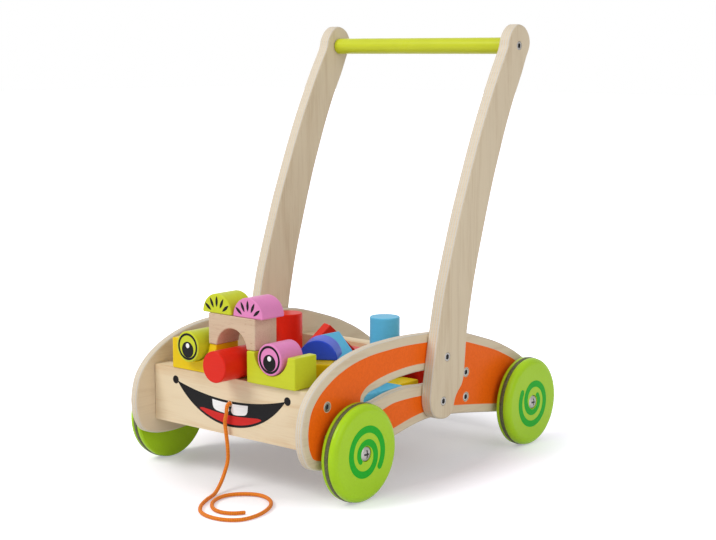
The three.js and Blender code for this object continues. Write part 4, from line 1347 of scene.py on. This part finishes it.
def printed(name, outline, place, material, body, holes=(), lift=0.0):
    """A thin closed slab: its face lies `INK + lift` above the surface, its back `INK_SINK` below it, and
    walls join the two along the outline and round each hole."""
    points, triangles, starts = fill_between(outline, holes)
    count = len(points)
    faces = triangles.tolist() + (triangles[:, ::-1] + count).tolist()
    for start, end in zip(starts[:-1], starts[1:]):
        here = np.arange(start, end)
        after = np.roll(here, -1)
        faces += np.stack([here, after, after + count, here + count], 1).tolist()
    spots = np.vstack([place(points, INK + lift), place(points, -INK_SINK)])
    piece = mesh_object(name, spots, faces, material, 30)
    outwards(piece)
    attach(piece, body)
    return piece


print("printed makes a print and puts it on its body")


# %% [markdown]
# The orange field keeps a margin to the panel's edge and has a window larger than the sawn one, so that
# bare wood frames both. Bare rings are left round the screws and the axles too.

# %% The orange field on each panel
FIELD_INSET, FIELD_ROUND_SCREW, FIELD_ROUND_AXLE = 10 * MM, 5.7 * MM, 10.5 * MM
window_places = np.array([
    (20, 95), (20, 101), (23.5, 105.5), (30, 110), (47, 115), (74, 119), (103, 120.5), (126, 119.8),
    (150, 116), (166, 108), (171, 97), (162, 88), (142, 84.5), (122, 84.8), (103, 85.6), (74, 85),
    (56, 81.4), (40, 78.5), (28, 82),
]) * MM
low, high = window_places.min(0), window_places.max(0)
field_window = smooth_outline((window_places - low) / (high - low), low, high, FIELD_POINTS)
field_window += (AXLE_Y, LEVEL)
field_outline = moved_in(panel_outline, FIELD_INSET)


def on_panel(side):
    """Puts (y, z) places on a panel's outer face."""
    def place(spots, lift):
        return np.column_stack([np.full(len(spots), side * (PANEL_X + lift)), spots])
    return place


for word, side in SIDES:
    holes = [field_window]
    for end in ENDS:
        holes.append(circle(FIELD_ROUND_AXLE, middle(f"{end}_axle")[1:]))
        for level in LEVELS:
            holes.append(circle(FIELD_ROUND_SCREW, middle(f"{end}_board_screw_{word}_{level}")[1:], 48))
    holes = [hole for hole in holes if inside(hole, field_outline).all()]
    field = printed(
        f"orange_field_{word}", field_outline, on_panel(side), panel_orange, "cart", holes,
    )
    print(field.name, len(field.data.polygons), "faces")


# %% [markdown]
# A spiral is a radius that grows with the angle, here through nine measured places. The stroke keeps its
# width, ends round and gives way to the recess of the hub screw.

# %% The spirals on the wheels
SPIRAL_WIDTH, HUB_CLEAR = 7.4 * MM, 0.6 * MM
spiral_radii = [10.2, 11.0, 11.4, 14.2, 20.6, 23.6, 25.3, 25.9, 26.6]
spiral_angles = [-130, -180, -270, -360, -450, -540, -630, -720, -765]
SPIRAL_TURN = {"front": 0.0, "rear": 185.0}
# The smooth curve takes degrees and millimetres alike, so the radii count ten times to weigh as much.
RADIUS_WEIGHT = 10


def outside_hub(spots):
    """The same places; those that lie over the hub's recess move straight out to beyond its rim."""
    reach = np.linalg.norm(spots, axis=1)[:, None]
    return spots * np.maximum(1, (HUB_RADIUS + HUB_CLEAR) / reach)


def spiral_strip(turn_on):
    """Both edges of a spiral whose radius grows smoothly with the angle. Its width at each point is half the
    stroke, times the root of one less the square of the share past the end, so its ends are round."""
    line = np.stack([spiral_angles, np.array(spiral_radii) * RADIUS_WEIGHT, np.zeros(len(spiral_radii))], 1)
    line = smooth_route(line, 40)
    run = np.linspace(0, len(line) - 1, 400)
    angle = np.radians(np.interp(run, np.arange(len(line)), line[:, 0]) + turn_on)
    radius = np.interp(run, np.arange(len(line)), line[:, 1]) / RADIUS_WEIGHT * MM
    spots = np.stack([radius * np.cos(angle), radius * np.sin(angle)], 1)
    along = np.gradient(spots, axis=0)
    step = np.linalg.norm(along, axis=1)
    along /= step[:, None]
    walked = np.concatenate([[0], np.cumsum(np.linalg.norm(np.diff(spots, axis=0), axis=1))])
    half = SPIRAL_WIDTH / 2
    to_end = np.minimum(walked, walked[-1] - walked)
    width = half * np.sqrt(np.clip(1 - (1 - np.minimum(to_end / half, 1)) ** 2, 0.0004, 1))
    across = np.stack([-along[:, 1], along[:, 0]], 1)
    return outside_hub(spots + across * width[:, None]), outside_hub(spots - across * width[:, None])


for end in ENDS:
    for word, side in SIDES:
        _, y, z = middle(f"{end}_axle")
        one, other = spiral_strip(SPIRAL_TURN[end])
        top_x, back_x = side * (WHEEL_X + INK), side * (WHEEL_X - INK_SINK)
        rows = [(one, top_x), (other, top_x), (other, back_x), (one, back_x)]
        loop = [np.column_stack([np.full(len(e), x), y + side * e[:, 0], z + e[:, 1]]) for e, x in rows]
        points = np.stack(loop, 1)
        faces = capped_faces(len(points), 4)
        spiral = mesh_object(f"{end}_spiral_{word}", points.reshape(-1, 3), faces, spiral_green, 30)
        outwards(spiral)
        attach(spiral, f"{end}_wheel_{word}")
print("four spirals")


# %% [markdown]
# The face. The blocks and the board make a smiling face, and its features are kept as plain as
# features can be: a crescent between two arcs with a row of teeth and a tongue, round eyes with a
# ring and a pupil, and a fan of straight tapered rays over each eye.

# %% The smile on the front board
SMILE_HALF, SMILE_TOP, LIP_DIP, CHIN_DIP = 79 * MM, 100.5 * MM + LEVEL, 11 * MM, 38.5 * MM
MOUTH_LINE, CHEEK_RADIUS, CORD_CLEAR = 2.6 * MM, 4.4 * MM, 3.4 * MM
CHEEK_OUT, CHEEK_UP, DIP_POINTS = 0.55 * CHEEK_RADIUS, 0.6 * MM, 90
CHEEK_LIFT, TONGUE_LIFT, TEETH_LIFT = 0.02 * MM, 0.03 * MM, 0.05 * MM
CORD_HOLE = cord_places[0][[0, 2]]


def dip_curve(half, top, dip):
    """Places on the circle through (-half, top), (0, top - dip) and (half, top): its radius is the sum of
    the squares of half and dip over twice the dip."""
    radius = (half**2 + dip**2) / (2 * dip)
    reach = math.asin(half / radius)
    angle = np.linspace(-reach, reach, DIP_POINTS)
    return np.stack([radius * np.sin(angle), top - dip + radius * (1 - np.cos(angle))], 1)


def on_board(spots, lift):
    """Puts (x, z) places on the front board's face."""
    return np.column_stack([spots[:, 0], np.full(len(spots), BOARD_Y - lift), spots[:, 1]])


def height_on(curve, x):
    """The height of a curve at each x."""
    return np.interp(x, curve[:, 0], curve[:, 1])


lip = dip_curve(SMILE_HALF, SMILE_TOP, LIP_DIP)
chin = dip_curve(SMILE_HALF, SMILE_TOP, CHIN_DIP)
cord_gap = circle(CORD_CLEAR, CORD_HOLE, 40)
printed("smile_mouth", np.vstack([chin, lip[-2:0:-1]]), on_board, print_black, "cart", [cord_gap])
for word, side in SIDES:
    cheek = circle(CHEEK_RADIUS, (side * (SMILE_HALF + CHEEK_OUT), SMILE_TOP + CHEEK_UP))
    printed(f"smile_cheek_{word}", cheek, on_board, print_black, "cart", lift=CHEEK_LIFT)

# A tooth keeps its height over most of its width, rounds off near its ends, and is a little shorter away
# from the middle of the smile.
TEETH_HALF, TEETH_TALL, TEETH_GAP, TEETH_SLOPE = 26 * MM, 12 * MM, 0.6 * MM, 0.12
TONGUE_HALF, TONGUE_RISE = 45 * MM, 9.5 * MM
for name, from_x, to_x in (("left", -TEETH_HALF, -TEETH_GAP), ("right", TEETH_GAP, TEETH_HALF)):
    x = np.linspace(from_x, to_x, 40)
    share = (x - x[0]) / (x[-1] - x[0])
    top = height_on(lip, x) - MOUTH_LINE
    rounding = (1 - np.abs(2 * share - 1) ** 5) ** 0.35
    bottom = top - TEETH_TALL * rounding * (1 - TEETH_SLOPE * np.abs(x) / TEETH_HALF)
    tooth = np.vstack([np.stack([x, bottom], 1)[1:-1], np.stack([x, top], 1)[::-1]])
    tooth = tooth[np.linalg.norm(tooth - CORD_HOLE, axis=1) > CORD_CLEAR * 1.02]
    printed(f"smile_teeth_{name}", tooth, on_board, print_white, "cart", lift=TEETH_LIFT)
x = np.linspace(-TONGUE_HALF, TONGUE_HALF, 80)
below = height_on(chin, x) + MOUTH_LINE
above = below + TONGUE_RISE * (1 - (x / TONGUE_HALF) ** 2) ** 0.6
tongue = np.vstack([np.stack([x, below], 1), np.stack([x, above], 1)[-2:0:-1]])
printed("smile_tongue", tongue, on_board, print_red, "cart", lift=TONGUE_LIFT)
print("smile: mouth, cheeks, teeth and tongue")


# %% [markdown]
# The eyes sit on the round blocks and look down a little, each with a small highlight. The rays fan out
# on the half-rounds above. Every print belongs to its own block and goes along when the block is taken
# out.

# %% The eyes and the rays
EYE_RING_OUT, EYE_RING_IN = 14.4 * MM, 12.0 * MM
PUPIL_RADIUS, PUPIL_DROP = 8.6 * MM, 3.3 * MM
SPARK_RADIUS, SPARK_UP, SPARK_LIFT = 2.6 * MM, 1.1 * MM, 0.03 * MM
RAY_FROM, RAY_TO, RAY_WIDE, RAY_DROP = 10.4 * MM, 21.8 * MM, 3.3 * MM, 3.6 * MM
RAY_DEGREES = (38, 64, 90, 116, 142)


def on_front(node, level):
    """Puts (x, z) places on a block's front face. They are counted from its middle, or from the middle of
    its low edge."""
    low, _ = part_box(node)
    x, _, z = middle(node)
    base = z if level == "middle" else low.z

    def place(spots, lift):
        return np.column_stack([x + spots[:, 0], np.full(len(spots), low.y - lift), base + spots[:, 1]])
    return place


def ray_outline(degrees):
    """A straight ray whose half width is a sine of the share of its length, turned by an angle."""
    t = np.linspace(0, 1, 24)
    wide = RAY_WIDE / 2 * np.sin(math.pi * t) ** 0.8
    along = RAY_FROM + (RAY_TO - RAY_FROM) * t
    ray = np.vstack([np.stack([along, wide], 1)[:-1], np.stack([along, -wide], 1)[::-1][:-1]])
    cos, sin = math.cos(math.radians(degrees)), math.sin(math.radians(degrees))
    return counterclockwise(ray @ np.array([[cos, sin], [-sin, cos]]) - (0, RAY_DROP))


for word, side in SIDES:
    node = f"eye_block_{word}"
    face = on_front(node, "middle")
    printed(f"eye_ring_{word}", circle(EYE_RING_OUT), face, print_black, node, [circle(EYE_RING_IN)])
    printed(f"eye_pupil_{word}", circle(PUPIL_RADIUS, (0, -PUPIL_DROP)), face, print_black, node)
    spark = circle(SPARK_RADIUS, (0, SPARK_UP), 40)
    printed(f"eye_spark_{word}", spark, face, print_white, node, lift=SPARK_LIFT)
    node = f"half_round_{word}"
    face = on_front(node, "low")
    for number, degrees in enumerate(RAY_DEGREES):
        printed(f"ray_{word}_{number + 1}", ray_outline(degrees), face, print_black, node)
print("two eyes and two fans of rays")


# %% [markdown]
# At the end the solid model's box is written again.

# %% Sizes, and the end
print("solid ", solid_box)
